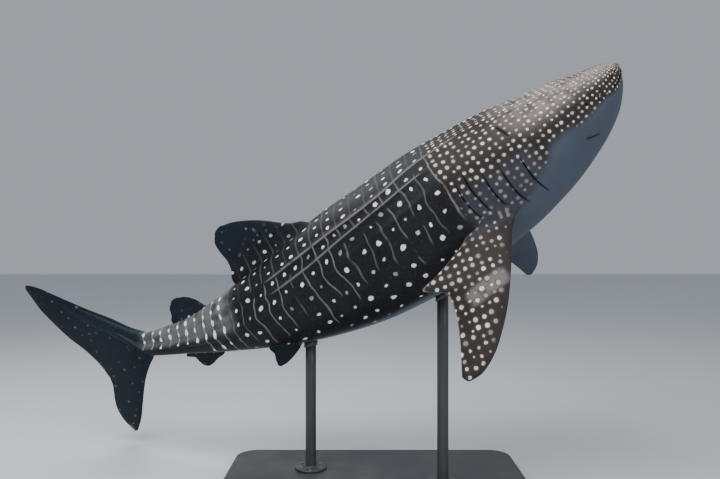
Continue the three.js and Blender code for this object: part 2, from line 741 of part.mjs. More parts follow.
/** A plain base plate with round corners and a small bevel, its underside at z = 0. */
function basePlate() {
  const { length, width, thickness, corner, bevel } = BASE;
  const x = length / 2 - bevel;
  const y = width / 2 - bevel;
  const shape = new THREE.Shape();
  shape.moveTo(-x + corner, -y);
  shape.lineTo(x - corner, -y);
  shape.absarc(x - corner, -y + corner, corner, -Math.PI / 2, 0);
  shape.lineTo(x, y - corner);
  shape.absarc(x - corner, y - corner, corner, 0, Math.PI / 2);
  shape.lineTo(-x + corner, y);
  shape.absarc(-x + corner, y - corner, corner, Math.PI / 2, Math.PI);
  shape.lineTo(-x, -y + corner);
  shape.absarc(-x + corner, -y + corner, corner, Math.PI, 1.5 * Math.PI);
  const plate = new THREE.ExtrudeGeometry(shape, {
    depth: thickness - 2 * bevel,
    bevelThickness: bevel,
    bevelSize: bevel,
    bevelSegments: 1,
    curveSegments: 6,
  });
  return plate.translate(0, 0, bevel);
}

/** A round solid on a vertical axis at (x, y), from [radius, height] pairs that run upward. */
function turned(x, y, pairs) {
  const outline = pairs.map(([radius, height]) => new THREE.Vector2(radius, height));
  return new THREE.LatheGeometry(outline, ROD.sides).rotateX(Math.PI / 2).translate(x, y, 0);
}

/** The round foot plate that a rod stands on. */
function foot(x, y, from) {
  const { radius, height, bevel } = FOOT;
  const top = from + height;
  return toGeometry(toSolid(turned(x, y, [[0, from], [radius, from], [radius, top - bevel], [radius - bevel, top], [0, top]])));
}

/** A plain rod from a height up to a height, cut to fit the belly. */
function rod(x, y, from, to, cutter) {
  const geometry = turned(x, y, [[0, from], [ROD.radius, from], [ROD.radius, to], [0, to]]);
  return toGeometry(toSolid(geometry).subtract(cutter));
}

// Assembly

const shark = new THREE.Group();
shark.rotation.set(radians(BANK), -radians(CLIMB), radians(HEADING), 'ZYX');

const cutter = bodyCutter();
const [upperLobe, lowerLobe] = caudalLobes(cutter);

shark.add(
  piece('head', head(), HEAD_SKIN),
  piece('gill_region', gillRegion(), HEAD_SKIN),
  piece('trunk_front', bodyLength(trimmed(evenStations(GILLS_END, TRUNK_MIDDLE))), DARK_SKIN),
  piece('trunk_rear', bodyLength(trimmed(evenStations(TRUNK_MIDDLE, TRUNK_END))), DARK_SKIN),
  piece('tail_stalk', bodyLength(trimmed(evenStations(TRUNK_END, STALK_END))), DARK_SKIN),
  piece('caudal_fin_upper', upperLobe, FIN_SKIN),
  piece('caudal_fin_lower', lowerLobe, FIN_SKIN),
  piece('first_dorsal_fin', rooted(fin(FIRST_DORSAL, middlePlane), cutter), FIN_SKIN),
  piece('second_dorsal_fin', rooted(fin(SECOND_DORSAL, middlePlane), cutter), FIN_SKIN),
  piece('anal_fin', rooted(fin(ANAL, middlePlane), cutter), FIN_SKIN),
  piece('pectoral_fin_right', rooted(fin(PECTORAL, pairedPlane(RIGHT_PECTORAL_POSE, PECTORAL)), cutter), HEAD_SKIN),
  piece('pectoral_fin_left', rooted(fin(PECTORAL, pairedPlane(LEFT_PECTORAL_POSE, PECTORAL)), cutter), HEAD_SKIN),
  piece('pelvic_fin_right', rooted(fin(PELVIC, pairedPlane(RIGHT_PELVIC_POSE, PELVIC)), cutter), FIN_SKIN),
  piece('pelvic_fin_left', rooted(fin(PELVIC, pairedPlane(LEFT_PELVIC_POSE, PELVIC)), cutter), FIN_SKIN),
  piece('eye_right', ballAt(EYE.station, EYE.angle, EYE.radius, EYE.sink), EYE_COLOUR, 0.15),
  piece('eye_left', ballAt(EYE.station, -EYE.angle, EYE.radius, EYE.sink), EYE_COLOUR, 0.15),
);

// The stand is upright under the turned animal, low enough to clear the tail
shark.updateMatrixWorld(true);
const sharkBox = new THREE.Box3().setFromObject(shark, true);
const floor = sharkBox.min.z - TAIL_CLEARANCE - BASE.thickness;
const turnedCutter = cutter.transform(shark.matrixWorld.elements);
const rodTops = Object.values(ROD_STATIONS).map((station) => frameAt(station).centre.clone().applyMatrix4(shark.matrixWorld));
const [frontTop, rearTop] = rodTops;
const footFloor = floor + BASE.thickness + GAP;
const rodFloor = footFloor + FOOT.height + GAP;

const stand = new THREE.Group();
const base = piece('stand_base', basePlate(), STAND_PAINT, 0.45, 0.6);
base.position.set((frontTop.x + rearTop.x) / 2, (frontTop.y + rearTop.y) / 2, floor);
stand.add(
  base,
  piece('stand_foot_front', foot(frontTop.x, frontTop.y, footFloor), STAND_PAINT, 0.4, 0.7),
  piece('stand_foot_rear', foot(rearTop.x, rearTop.y, footFloor), STAND_PAINT, 0.4, 0.7),
  piece('stand_rod_front', rod(frontTop.x, frontTop.y, rodFloor, frontTop.z, turnedCutter), STAND_PAINT, 0.4, 0.7),
  piece('stand_rod_rear', rod(rearTop.x, rearTop.y, rodFloor, rearTop.z, turnedCutter), STAND_PAINT, 0.4, 0.7),
);

const model = new THREE.Group();
model.add(shark, stand);
model.updateMatrixWorld(true);
const box = new THREE.Box3().setFromObject(model, true);
model.position.set(-(box.min.x + box.max.x) / 2, -(box.min.y + box.max.y) / 2, -box.min.z);

export default model;
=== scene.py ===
"""Whale shark, a juvenile of 5.5 m as a still museum model on a plain display stand.

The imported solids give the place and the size. This script grows one smooth skin over them, with
gill flaps, lips, eye seats, nostrils and flared fin roots, paints its spots, bars and ridge lines
from maps that follow the body, and adds the eyes, the stand, the floor, the light and the camera.

Metres, +Z up. Lengths on the animal are fractions of its total length. A station runs from the
snout (0) to the root of the tail fin (0.785). An angle runs round the section in degrees from the
middle of the back (0) over the flank (90) to the middle of the belly (180), positive on the right.
"""

from __future__ import annotations

import logging
import math
from collections.abc import Iterable
from dataclasses import dataclass, field
from enum import Enum
from functools import cached_property

import bmesh
import bpy
import numpy as np
from bmesh.types import BMEdge, BMesh, BMVert
from bpy.types import Material, NodeTree, Object
from mathutils import Matrix, Vector
from mathutils.bvhtree import BVHTree

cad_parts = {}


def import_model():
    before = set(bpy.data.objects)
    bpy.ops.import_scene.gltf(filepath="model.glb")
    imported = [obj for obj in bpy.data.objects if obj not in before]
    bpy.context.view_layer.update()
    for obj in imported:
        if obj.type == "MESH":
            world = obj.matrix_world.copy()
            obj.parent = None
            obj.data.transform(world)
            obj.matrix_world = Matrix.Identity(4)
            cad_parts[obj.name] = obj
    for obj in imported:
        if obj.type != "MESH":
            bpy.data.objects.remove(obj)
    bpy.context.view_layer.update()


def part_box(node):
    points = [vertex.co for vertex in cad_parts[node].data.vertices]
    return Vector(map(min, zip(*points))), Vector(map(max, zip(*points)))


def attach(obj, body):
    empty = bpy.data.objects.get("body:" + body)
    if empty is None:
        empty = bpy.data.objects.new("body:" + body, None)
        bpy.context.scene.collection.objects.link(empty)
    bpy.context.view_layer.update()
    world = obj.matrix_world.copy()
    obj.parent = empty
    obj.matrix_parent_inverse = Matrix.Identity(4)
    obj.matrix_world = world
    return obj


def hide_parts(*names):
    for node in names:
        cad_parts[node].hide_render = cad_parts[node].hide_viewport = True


LOG = logging.getLogger("whale_shark")

# Metres within which two heights count as the same
NEAR = 1e-6

Array = np.ndarray
Number = float | np.ndarray
Pair = tuple[float, float]

# Stations, angles and heights of a ring's points, and how much painted shade its inside takes
Ring = tuple[Array, Array, Array, float]

# Leading edge, trailing edge and half thickness of a fin at one part of its span
Strip = tuple[Array, Array, float]

# Start, end and half width of the worn band on a fin
Scar = tuple[Pair, Pair, float]


class Side(Enum):
    """The two flanks; the value is the sign of their angles."""

    RIGHT = 1
    LEFT = -1


class Slot(Enum):
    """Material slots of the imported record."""

    BACK = "back_skin"
    EYE = "eye"
    STAND = "stand_paint"


# Curves and ramps


class Profile:
    """A monotone cubic through (station, value) pairs, held level past both ends."""

    def __init__(self, *pairs: Pair) -> None:
        """Stores the pairs and works out their slopes.

        Args:
            pairs: Stations with their values, in order.
        """
        self.x, self.y = np.array(pairs, float).T
        steps = np.diff(self.y) / np.diff(self.x)
        self.slopes = np.concatenate([steps[:1], np.zeros(len(pairs) - 2), steps[-1:]])
        for i in range(1, len(pairs) - 1):
            if steps[i - 1] * steps[i] > 0:
                self.slopes[i] = 2 / (1 / steps[i - 1] + 1 / steps[i])

    def __call__(self, x: Number) -> Array:
        """Reads the curve.

        Args:
            x: Stations.

        Returns:
            The value at each station.
        """
        x = np.clip(np.asarray(x, float), self.x[0], self.x[-1])
        i = np.clip(np.searchsorted(self.x, x, side="right") - 1, 0, len(self.x) - 2)
        width, rise = self.x[i + 1] - self.x[i], self.y[i + 1] - self.y[i]
        t = (x - self.x[i]) / width
        start, end = self.slopes[i] * width, self.slopes[i + 1] * width
        bend = (3 * rise - 2 * start - end) * t**2 + (start + end - 2 * rise) * t**3
        return self.y[i] + start * t + bend


def ramp(x: Number, low: Number, high: Number) -> Array:
    """A smooth step: 0 before low, 1 past high."""
    t = np.clip((np.asarray(x, float) - low) / (np.asarray(high, float) - low), 0, 1)
    return t * t * (3 - 2 * t)


def fall(x: Number, low: Number, high: Number) -> Array:
    """A smooth step down: 1 before low, 0 past high."""
    return 1 - ramp(x, low, high)


def signed_power(x: Array, power: float) -> Array:
    """Raises the size of x to a power and keeps its sign."""
    return np.sign(x) * np.abs(x) ** power


def together(*values: Number) -> list[Array]:
    """The values as arrays of one shape."""
    return np.broadcast_arrays(*(np.asarray(value, float) for value in values))


class EdgeCurve:
    """A smooth curve through (aft, outward) pairs: a centripetal Catmull-Rom spline."""

    def __init__(self, pairs: tuple[Pair, ...]) -> None:
        """Stores the points, with one more past each end, mirrored in the end point."""
        points = np.array(pairs, float)
        self.points = np.vstack([2 * points[0] - points[1], points, 2 * points[-1] - points[-2]])

    def __call__(self, along: float) -> Array:
        """Reads the curve.

        Args:
            along: 0 at the first point, 1 at the last.

        Returns:
            The point there, as (aft, outward).
        """
        spans = len(self.points) - 3
        i = min(int(along * spans), spans - 1)
        t = along * spans - i
        p = self.points[i : i + 4]
        d = [max(np.linalg.norm(p[k + 1] - p[k]) ** 0.5, 1e-4) for k in range(3)]
        rates = [(p[k + 1] - p[k]) / d[k] for k in range(3)]
        start, end = (
            d[1] * (rates[k - 1] - (p[k + 1] - p[k - 1]) / (d[k - 1] + d[k]) + rates[k]) for k in (1, 2)
        )
        cubic = 2 * p[1] - 2 * p[2] + start + end
        square = -3 * p[1] + 3 * p[2] - 2 * start - end
        return p[1] + start * t + square * t**2 + cubic * t**3


# The spine and the section round it


@dataclass
class Spine:
    """The bent and turned middle line of the body."""

    total_length: float = 5.5
    climb: float = 32.8
    bank: float = 19.1
    heading: float = -18.5
    reference_station: float = 0.35
    side_bend: float = -0.254
    arch_bend: float = -0.707
    arch_change: float = -0.541
    stalk_end: float = 0.785
    table_step: float = 0.0005
    anchor: Array = field(default_factory=lambda: np.zeros(3))

    def __post_init__(self) -> None:
        """Adds up the middle line once, from the reference station both ways."""
        turn = Matrix.Rotation(math.radians(self.heading), 3, "Z")
        turn @= Matrix.Rotation(-math.radians(self.climb), 3, "Y")
        turn @= Matrix.Rotation(math.radians(self.bank), 3, "X")
        self.turn = np.array(turn)
        self.stations = np.arange(-0.03, 1.0, self.table_step)
        forward = self.directions(self.stations)[0]
        strides = -(forward[1:] + forward[:-1]) / 2 * self.table_step * self.total_length
        line = np.vstack([np.zeros(3), np.cumsum(strides, axis=0)])
        self.line = line - [np.interp(self.reference_station, self.stations, line[:, k]) for k in range(3)]

    def directions(self, station: Number) -> tuple[Array, Array, Array]:
        """The body's own axes at each station.

        Args:
            station: Stations, of any shape.

        Returns:
            Unit vectors forward, to the left and up, with a last axis of 3.
        """
        t = np.minimum(station, self.stalk_end) - self.reference_station
        side, arch = self.side_bend * t, self.arch_bend * t + self.arch_change * t * t
        forward = np.stack([np.cos(side) * np.cos(arch), np.sin(side) * np.cos(arch), np.sin(arch)], axis=-1)
        left = np.stack([-np.sin(side), np.cos(side), np.zeros_like(side)], axis=-1)
        return forward @ self.turn.T, left @ self.turn.T, np.cross(forward, left) @ self.turn.T

    def centre(self, station: Number) -> Array:
        """Points of the middle line at the stations."""
        line = [np.interp(station, self.stations, self.line[:, k]) for k in range(3)]
        return np.stack(line, axis=-1) + self.anchor

    def place(self, station: Number, right: Number, height: Number) -> Array:
        """Points given by station, and by metres to the right of the middle line and above it.

        Args:
            station: Stations.
            right: Distances to the right.
            height: Distances above.

        Returns:
            The points, with a last axis of 3.
        """
        station, right, height = together(station, right, height)
        _, left, up = self.directions(station)
        return self.centre(station) - left * right[..., None] + up * height[..., None]

    def locate(self, points: Array) -> tuple[Array, Array, Array]:
        """Finds the places of points near the body, the other way round.

        Args:
            points: The points, with a last axis of 3.

        Returns:
            Stations, and metres to the right and above.
        """
        station = np.full(points.shape[:-1], self.reference_station)
        for _ in range(12):
            forward = self.directions(station)[0]
            ahead = np.sum((points - self.centre(station)) * forward, axis=-1)
            station = np.clip(station - ahead / self.total_length, -0.02, 0.99)
        _, left, up = self.directions(station)
        offset = points - self.centre(station)
        return station, -np.sum(offset * left, axis=-1), np.sum(offset * up, axis=-1)


@dataclass(frozen=True)
class Ridge:
    """One of the ridges that run along a flank; the keel is its extra height on the stalk."""

    start: float
    end: float
    angle: Profile
    keel: Profile | None = None


@dataclass
class Body:
    """The section round the spine, with its ridges, as the solids have it."""

    spine: Spine
    power: float = 2.3
    nose: float = -0.006
    head_end: float = 0.135
    tail_axis_end: float = 0.915
    ridge_height: float = 0.0028
    ridge_half_width: float = 0.0065
    ridge_fade: float = 0.05
    back_ridge: Ridge = Ridge(0.1, 0.48, Profile((0.0, 0), (1.0, 0)))
    back_ridge_height: float = 0.0022
    back_ridge_half_angle: float = 4.0
    half_width: Profile = Profile(
        (-0.006, 0.02), (0, 0.041), (0.012, 0.0575), (0.035, 0.0705), (0.075, 0.081), (0.13, 0.088),
        (0.2, 0.091), (0.29, 0.089), (0.39, 0.08), (0.48, 0.066), (0.57, 0.05), (0.65, 0.032),
        (0.72, 0.018), (0.785, 0.012), (0.82, 0.009), (0.88, 0.0055), (0.915, 0.003),
    )
    back_height: Profile = Profile(
        (-0.006, 0.003), (0, 0.0085), (0.012, 0.0165), (0.035, 0.0275), (0.075, 0.0438), (0.13, 0.0632),
        (0.2, 0.081), (0.29, 0.0934), (0.39, 0.0945), (0.48, 0.0862), (0.57, 0.0675), (0.65, 0.0467),
        (0.72, 0.0301), (0.785, 0.0208), (0.82, 0.0165), (0.88, 0.0125), (0.915, 0.008),
    )
    belly_depth: Profile = Profile(
        (-0.006, 0.005), (0, 0.0115), (0.012, 0.0279), (0.035, 0.0472), (0.075, 0.0643), (0.13, 0.0783),
        (0.2, 0.0868), (0.29, 0.089), (0.39, 0.0836), (0.48, 0.0697), (0.57, 0.0504), (0.65, 0.0343),
        (0.72, 0.0236), (0.785, 0.0182), (0.82, 0.0155), (0.88, 0.0115), (0.915, 0.0075),
    )
    axis_rise: Profile = Profile(
        (0.785, 0), (0.8, 0.0085), (0.82, 0.021), (0.845, 0.038), (0.88, 0.061), (0.915, 0.086),
    )
    ridges: tuple[Ridge, ...] = (
        Ridge(0.16, 0.69, Profile((0.16, 24), (0.25, 30), (0.32, 38), (0.46, 45), (0.6, 52), (0.785, 58))),
        Ridge(0.22, 0.73, Profile((0.16, 40), (0.22, 43), (0.36, 51.5), (0.46, 60), (0.6, 68), (0.785, 74))),
        Ridge(
            0.25, 1.0,
            Profile((0.16, 58), (0.25, 63), (0.32, 67), (0.46, 75), (0.6, 84), (0.68, 90), (0.785, 90)),
            Profile((0.58, 0), (0.65, 0.0035), (0.72, 0.0085), (0.785, 0.0105), (0.82, 0.004), (0.85, 0)),
        ),
    )

    @property
    def length(self) -> float:
        """The animal's length, metres."""
        return self.spine.total_length

    def depth(self, station: Array, above: Array) -> Array:
        """Height of the back where above is true, and depth of the belly elsewhere."""
        return np.where(above, self.back_height(station), self.belly_depth(station))

    def section(self, station: Array, angle: Array) -> tuple[Array, ...]:
        """The plain section without ridges.

        Args:
            station: Stations.
            angle: Angles.

        Returns:
            Distances to the right and heights as fractions of the length, and the two parts of
            the unit normal.
        """
        turn = np.radians(angle)
        width, height = self.half_width(station), self.depth(station, np.cos(turn) > 0)
        across, upward = (signed_power(part, 2 / self.power) for part in (np.sin(turn), np.cos(turn)))
        normal = np.stack([
            signed_power(across, self.power - 1) / width, signed_power(upward, self.power - 1) / height,
        ])
        normal /= np.linalg.norm(normal, axis=0)
        return across * width, upward * height, normal[0], normal[1]

    def ridge_half_angle(self, station: Array) -> Array:
        """Half the angle that a ridge takes up, wider on the narrow tail stalk."""
        radius = np.maximum(self.half_width(station), 0.03)
        return np.minimum(np.degrees(self.ridge_half_width / radius), 11)

    def ridge_strength(self, ridge: Ridge, station: Array) -> Array:
        """How far a ridge has grown at the stations, from 0 to 1."""
        fade = self.ridge_fade
        return ramp(station, ridge.start, ridge.start + fade) * fall(station, ridge.end - fade, ridge.end)

    def ridge_lift(self, station: Array, angle: Array) -> Array:
        """Height of the flank ridges and of the back's ridge, as a fraction of the length.

        Args:
            station: Stations.
            angle: Angles.

        Returns:
            The height.
        """
        half = self.ridge_half_angle(station)
        lift = np.zeros(np.broadcast(station, angle).shape)
        for ridge in self.ridges:
            reach = np.clip(1 - np.abs(np.abs(angle) - ridge.angle(station)) / half, 0, 1)
            keel = ridge.keel(station) if ridge.keel else 0
            low = self.ridge_strength(ridge, station) * self.ridge_height * fall(station, 0.62, 0.7)
            lift = lift + (low + keel) * (0.35 * reach + 0.65 * ramp(reach, 0, 1))
        reach = np.clip(1 - np.abs(angle) / self.back_ridge_half_angle, 0, 1)
        strength = self.ridge_strength(self.back_ridge, station)
        return lift + self.back_ridge_height * strength * ramp(reach, 0, 1)

    def skin(self, station: Number, angle: Number, outward: Number = 0.0) -> Array:
        """Points of the skin.

        Args:
            station: Stations.
            angle: Angles.
            outward: How far the points are moved out along the section's normal, metres.

        Returns:
            The points, with a last axis of 3.
        """
        station, angle = together(station, angle)
        right, height, normal_right, normal_up = self.section(station, angle)
        length = self.spine.total_length
        lift = self.ridge_lift(station, angle) * length + outward
        up = (height + self.axis_rise(station)) * length
        return self.spine.place(station, right * length + normal_right * lift, up + normal_up * lift)

    def clearance(self, points: Array) -> Array:
        """How far points stand off the plain section.

        Args:
            points: Points near the body, with a last axis of 3.

        Returns:
            The distances in metres, negative inside.
        """
        station, right, height = self.spine.locate(points)
        length = self.spine.total_length
        height = height - self.axis_rise(station) * length
        across = np.abs(right) / (self.half_width(station) * length)
        upward = np.abs(height) / (self.depth(station, height > 0) * length)
        reach = (across**self.power + upward**self.power) ** (1 / self.power)
        return np.hypot(right, height) * (1 - 1 / np.maximum(reach, 1e-6))

    def half_width_at(self, station: Number, height: Number) -> Array:
        """Half the width of the body at stations and at heights in metres."""
        length = self.spine.total_length
        part = np.minimum(1, np.abs(height) / (self.depth(station, height > 0) * length))
        return self.half_width(station) * length * (1 - part**self.power) ** (1 / self.power)


@dataclass
class BodyMap:
    """Flattens the skin: how far along and how far round a point is, in rows of equal size."""

    body: Body
    table_angles: int = 181

    def __post_init__(self) -> None:
        """Measures the section's arc on a table of stations and angles."""
        self.stations = np.linspace(self.body.nose, self.body.tail_axis_end, 240)
        angles = np.linspace(0, 180, self.table_angles)
        right, height, _, _ = self.body.section(*np.meshgrid(self.stations, angles, indexing="ij"))
        strides = np.hypot(np.diff(right, axis=1), np.diff(height, axis=1))
        arcs = np.concatenate([np.zeros((len(self.stations), 1)), np.cumsum(strides, axis=1)], axis=1)
        self.half_girth = arcs[:, -1]
        self.parts = arcs / self.half_girth[:, None]
        slope = np.gradient(self.half_girth / math.pi, self.stations)
        rate = np.sqrt(1 + slope**2) / self.half_girth
        self.step = self.stations[1] - self.stations[0]
        self.along_table = np.concatenate([[0.0], np.cumsum((rate[1:] + rate[:-1]) / 2 * self.step)])

    def along(self, station: Number) -> Array:
        """Distance along the body in half girths, so that a square on the map is one on the skin."""
        return np.interp(station, self.stations, self.along_table)

    def girth(self, station: Number) -> Array:
        """Half the girth at the stations, as a fraction of the length."""
        return np.interp(station, self.stations, self.half_girth)

    def around(self, station: Number, angle: Number) -> Array:
        """Part of the half girth between the back and the points.

        Args:
            station: Stations.
            angle: Angles.

        Returns:
            0 at the back to 1 at the belly, negative on the left side.
        """
        station, angle = together(station, angle)
        row = np.clip((station - self.stations[0]) / self.step, 0, len(self.stations) - 1.001)
        degrees = np.clip(np.abs(angle), 0, 179.999)
        low, column = row.astype(int), degrees.astype(int)
        mix, part = row - low, degrees - column
        first, second = (
            self.parts[at, column] * (1 - part) + self.parts[at, column + 1] * part for at in (low, low + 1)
        )
        return np.where(angle < 0, -1, 1) * (first * (1 - mix) + second * mix)


@dataclass
class RowMap:
    """A second map, in cells of the markings: columns along the body, rows between the ridges."""

    flat: BodyMap
    column_width: Profile = Profile(
        (0.18, 0.12), (0.3, 0.135), (0.55, 0.135), (0.64, 0.105), (0.785, 0.088), (0.97, 0.08),
    )
    back_row: float = 0.095
    ridge_row: float = 0.12
    flank_row: float = 0.13
    first_ridge_row: float = 3.0

    def __post_init__(self) -> None:
        """Adds up the columns along the body once."""
        self.stations = np.linspace(-0.02, 0.99, 1011)
        step = (self.stations[1] - self.stations[0]) * self.flat.body.length
        rate = 1 / self.column_width(self.stations)
        self.sums = np.concatenate([[0.0], np.cumsum((rate[1:] + rate[:-1]) / 2 * step)])

    def columns(self, station: Number) -> Array:
        """Column of each station."""
        return np.interp(station, self.stations, self.sums)

    def rows(self, station: Array, angle: Array) -> Array:
        """Row of each point, the same on both sides.

        Args:
            station: Stations.
            angle: Angles.

        Returns:
            The first ridge's row at the first ridge, and one more at the second.
        """
        body = self.flat.body
        metres = self.flat.girth(station) * body.length
        arc, upper, lower = (
            np.abs(self.flat.around(station, at)) * metres
            for at in (angle, body.ridges[0].angle(station), body.ridges[1].angle(station))
        )
        top = self.first_ridge_row
        between = top + 0.5 + (arc - (upper + lower) / 2) / np.maximum(self.ridge_row, lower - upper)
        rows = np.where(arc < upper, top - (upper - arc) / self.back_row, between)
        return np.where(arc > lower, top + 1 + (arc - lower) / self.flank_row, rows)


# Meshes


class Swept:
    """A closed mesh grown by extruding one ring along a stack of rings."""

    def __init__(self, rings: Array) -> None:
        """Extrudes a circle from ring to ring and closes both ends with fans.

        Args:
            rings: Points of every ring, as (ring, column, 3).
        """
        self.bm = bmesh.new()
        self.ring_of = self.bm.verts.layers.int.new("ring")
        self.column_of = self.bm.verts.layers.int.new("column")
        circle = bmesh.ops.create_circle(self.bm, segments=rings.shape[1], radius=1.0)["verts"]
        for column, vert in enumerate(circle):
            vert[self.column_of] = column
            vert.co = rings[0, column]
        edges = list(self.bm.edges)
        for ring in range(1, len(rings)):
            grown = bmesh.ops.extrude_edge_only(self.bm, edges=edges)["geom"]
            verts = {part for part in grown if isinstance(part, BMVert)}
            for vert in verts:
                vert[self.ring_of] = ring
                vert.co = rings[ring, vert[self.column_of]]
            sides = [part for part in grown if isinstance(part, BMEdge)]
            edges = [edge for edge in sides if verts.issuperset(edge.verts)]
        open_edges = [edge for edge in self.bm.edges if edge.is_boundary]
        caps = bmesh.ops.holes_fill(self.bm, edges=open_edges, sides=0)["faces"]
        for tip in bmesh.ops.poke(self.bm, faces=caps)["verts"]:
            tip[self.ring_of] = tip.link_edges[0].other_vert(tip)[self.ring_of]
            tip[self.column_of] = -1
        bmesh.ops.recalc_face_normals(self.bm, faces=self.bm.faces)

    def paint(self, name: str, values: Array, seam: int | None = None, beyond: Array | None = None) -> None:
        """Writes a map or a set of masks on the corners.

        Args:
            name: Name of the layer; two values a point make a UV map, four a colour.
            values: Values of every ring and column, as (ring, column, 2 or 4).
            seam: Column along which the map is cut, if any.
            beyond: Values of the seam column on the far side of the cut, as (ring, 2 or 4).
        """
        layers = self.bm.loops.layers
        uv = values.shape[-1] == 2
        layer = layers.uv.new(name) if uv else layers.float_color.new(name)
        for face in self.bm.faces:
            past = seam is not None and any(loop.vert[self.column_of] > seam for loop in face.loops)
            for loop in face.loops:
                ring, column = loop.vert[self.ring_of], loop.vert[self.column_of]
                value = beyond[ring] if past and column == seam else values[ring, column]
                if uv:
                    loop[layer].uv = value
                else:
                    loop[layer] = value


def mask_opening_shade(bm: BMesh) -> BMesh:
    """Masks a cutter's whole surface for the painted shade inside an opening.

    Args:
        bm: The cutter.

    Returns:
        The same mesh.
    """
    layer = bm.loops.layers.float_color.new("Marks")
    for face in bm.faces:
        for loop in face.loops:
            loop[layer] = (0.0, 0.0, 0.0, 1.0)
    return bm


def finish_mesh(bm: BMesh, name: str, smooth: bool = True) -> Object:
    """Turns a bmesh into an object of the scene.

    Args:
        bm: The mesh, freed afterwards.
        name: Name of the object and its mesh.
        smooth: Whether its faces are shaded smooth.

    Returns:
        The new object.
    """
    mesh = bpy.data.meshes.new(name)
    for face in bm.faces:
        face.smooth = smooth
    bm.to_mesh(mesh)
    bm.free()
    obj = bpy.data.objects.new(name, mesh)
    bpy.context.scene.collection.objects.link(obj)
    return obj


def combine(base: Object, shells: list[BMesh], operation: str) -> None:
    """Joins closed meshes to an object, or cuts them out of it.

    Args:
        base: The object, which is changed.
        shells: The meshes, each apart from the others, freed afterwards.
        operation: UNION or DIFFERENCE.
    """
    gathered = bmesh.new()
    for shell in shells:
        mesh = bpy.data.meshes.new("shell")
        shell.to_mesh(mesh)
        shell.free()
        gathered.from_mesh(mesh)
        bpy.data.meshes.remove(mesh)
    other = finish_mesh(gathered, "shells")
    modifier = base.modifiers.new("combine", "BOOLEAN")
    modifier.operation, modifier.solver, modifier.object = operation, "MANIFOLD", other
    graph = bpy.context.evaluated_depsgraph_get()
    joined = base.evaluated_get(graph)
    mesh = bpy.data.meshes.new_from_object(joined, preserve_all_data_layers=True, depsgraph=graph)
    base.modifiers.clear()
    spare = (base.data, other.data)
    base.data = mesh
    bpy.data.objects.remove(other)
    for data in spare:
        bpy.data.meshes.remove(data)
    mesh.name = base.name


# Forms of the head


@dataclass
class Mouth:
    """The mouth line with its lips."""

    body: Body
    corner: float = 0.024
    drop: Pair = (0.0008, 0.0085)
    gape: float = 0.010
    cut_depth: float = 0.045
    cut_reach: float = 0.03
    lip_height: float = 0.0075
    lip_middle: float = 0.0135
    lip_half_width: float = 0.010
    path_steps: int = 26

    def height(self, station: Number) -> Array:
        """Height of the mouth line at the stations, metres."""
        along = (np.asarray(station, float) - self.body.nose) / (self.corner - self.body.nose)
        drop = self.drop[0] + (self.drop[1] - self.drop[0]) * np.clip(along, 0, None) ** 0.8
        return -drop * self.body.length

    def path(self) -> Array:
        """The mouth line's points.

        Returns:
            Points from the right corner round the snout to the left corner.
        """
        part = np.linspace(0, 1, self.path_steps)
        stations = self.body.nose + (self.corner - self.body.nose) * (1 - part) ** 2
        heights = self.height(stations)
        reach = self.body.half_width_at(stations, heights)
        right, left = (self.body.spine.place(stations, side * reach, heights) for side in (1, -1))
        middle = self.body.spine.place(self.body.nose - 0.0004, 0.0, self.height(self.body.nose))
        return np.vstack([right, middle[None], left[::-1]])

    def above(self, station: Array, angle: Array) -> Array:
        """How far points of the skin are above the mouth line, metres."""
        height = self.body.section(station, angle)[1] * self.body.length
        return height - self.height(np.minimum(station, self.corner))

    def lips(self, station: Array, angle: Array) -> Array:
        """Height of the rolls along the mouth line, metres, fading past its corners."""
        roll = np.exp(-(((np.abs(self.above(station, angle)) - self.lip_middle) / self.lip_half_width) ** 2))
        return self.lip_height * roll * fall(station, self.corner - 0.004, self.corner + 0.003)

    def cutter(self) -> BMesh:
        """The curved slot that parts the jaws.

        Returns:
            A closed mesh.
        """
        path = self.path()
        _, _, up = self.body.spine.directions(0.0)
        away = path - self.body.spine.centre(0.03)
        away -= up * (away @ up)[:, None]
        normal = away / np.linalg.norm(away, axis=1, keepdims=True)
        along = np.linspace(0, 1, len(path))
        open_part = ramp(np.minimum(along, 1 - along), -0.02, 0.1)[:, None]
        half = self.gape / 2 * (0.45 + 0.55 * open_part)
        depth = self.cut_depth * (0.3 + 0.7 * open_part)
        corners = [(self.cut_reach, half), (self.cut_reach, -half), (-depth, -half), (-depth, half)]
        rings = np.stack([path + normal * out + up * rise for out, rise in corners], axis=1)
        return mask_opening_shade(Swept(rings).bm)


@dataclass
class Seat:
    """A round seat in the skin with a raised rim: an eye's or a spiracle's."""

    body: Body
    station: float
    angle: float
    radius: float
    depth: float
    rim_height: float
    rim_width: float

    def distance(self, station: Array, angle: Array) -> Array:
        """Distance of skin points from the seat's middle, metres."""
        middle = self.body.skin(self.station, self.angle)
        return np.linalg.norm(self.body.skin(station, angle) - middle, axis=-1)

    def lift(self, distance: Array) -> Array:
        """Height of the seat's form at distances from its middle, metres."""
        rim = np.exp(-(((distance - self.radius * 1.16) / self.rim_width) ** 2)) * self.rim_height
        hollow = fall(distance, self.radius * 0.72, self.radius * 1.06)
        return rim * (1 - hollow) - self.depth * hollow


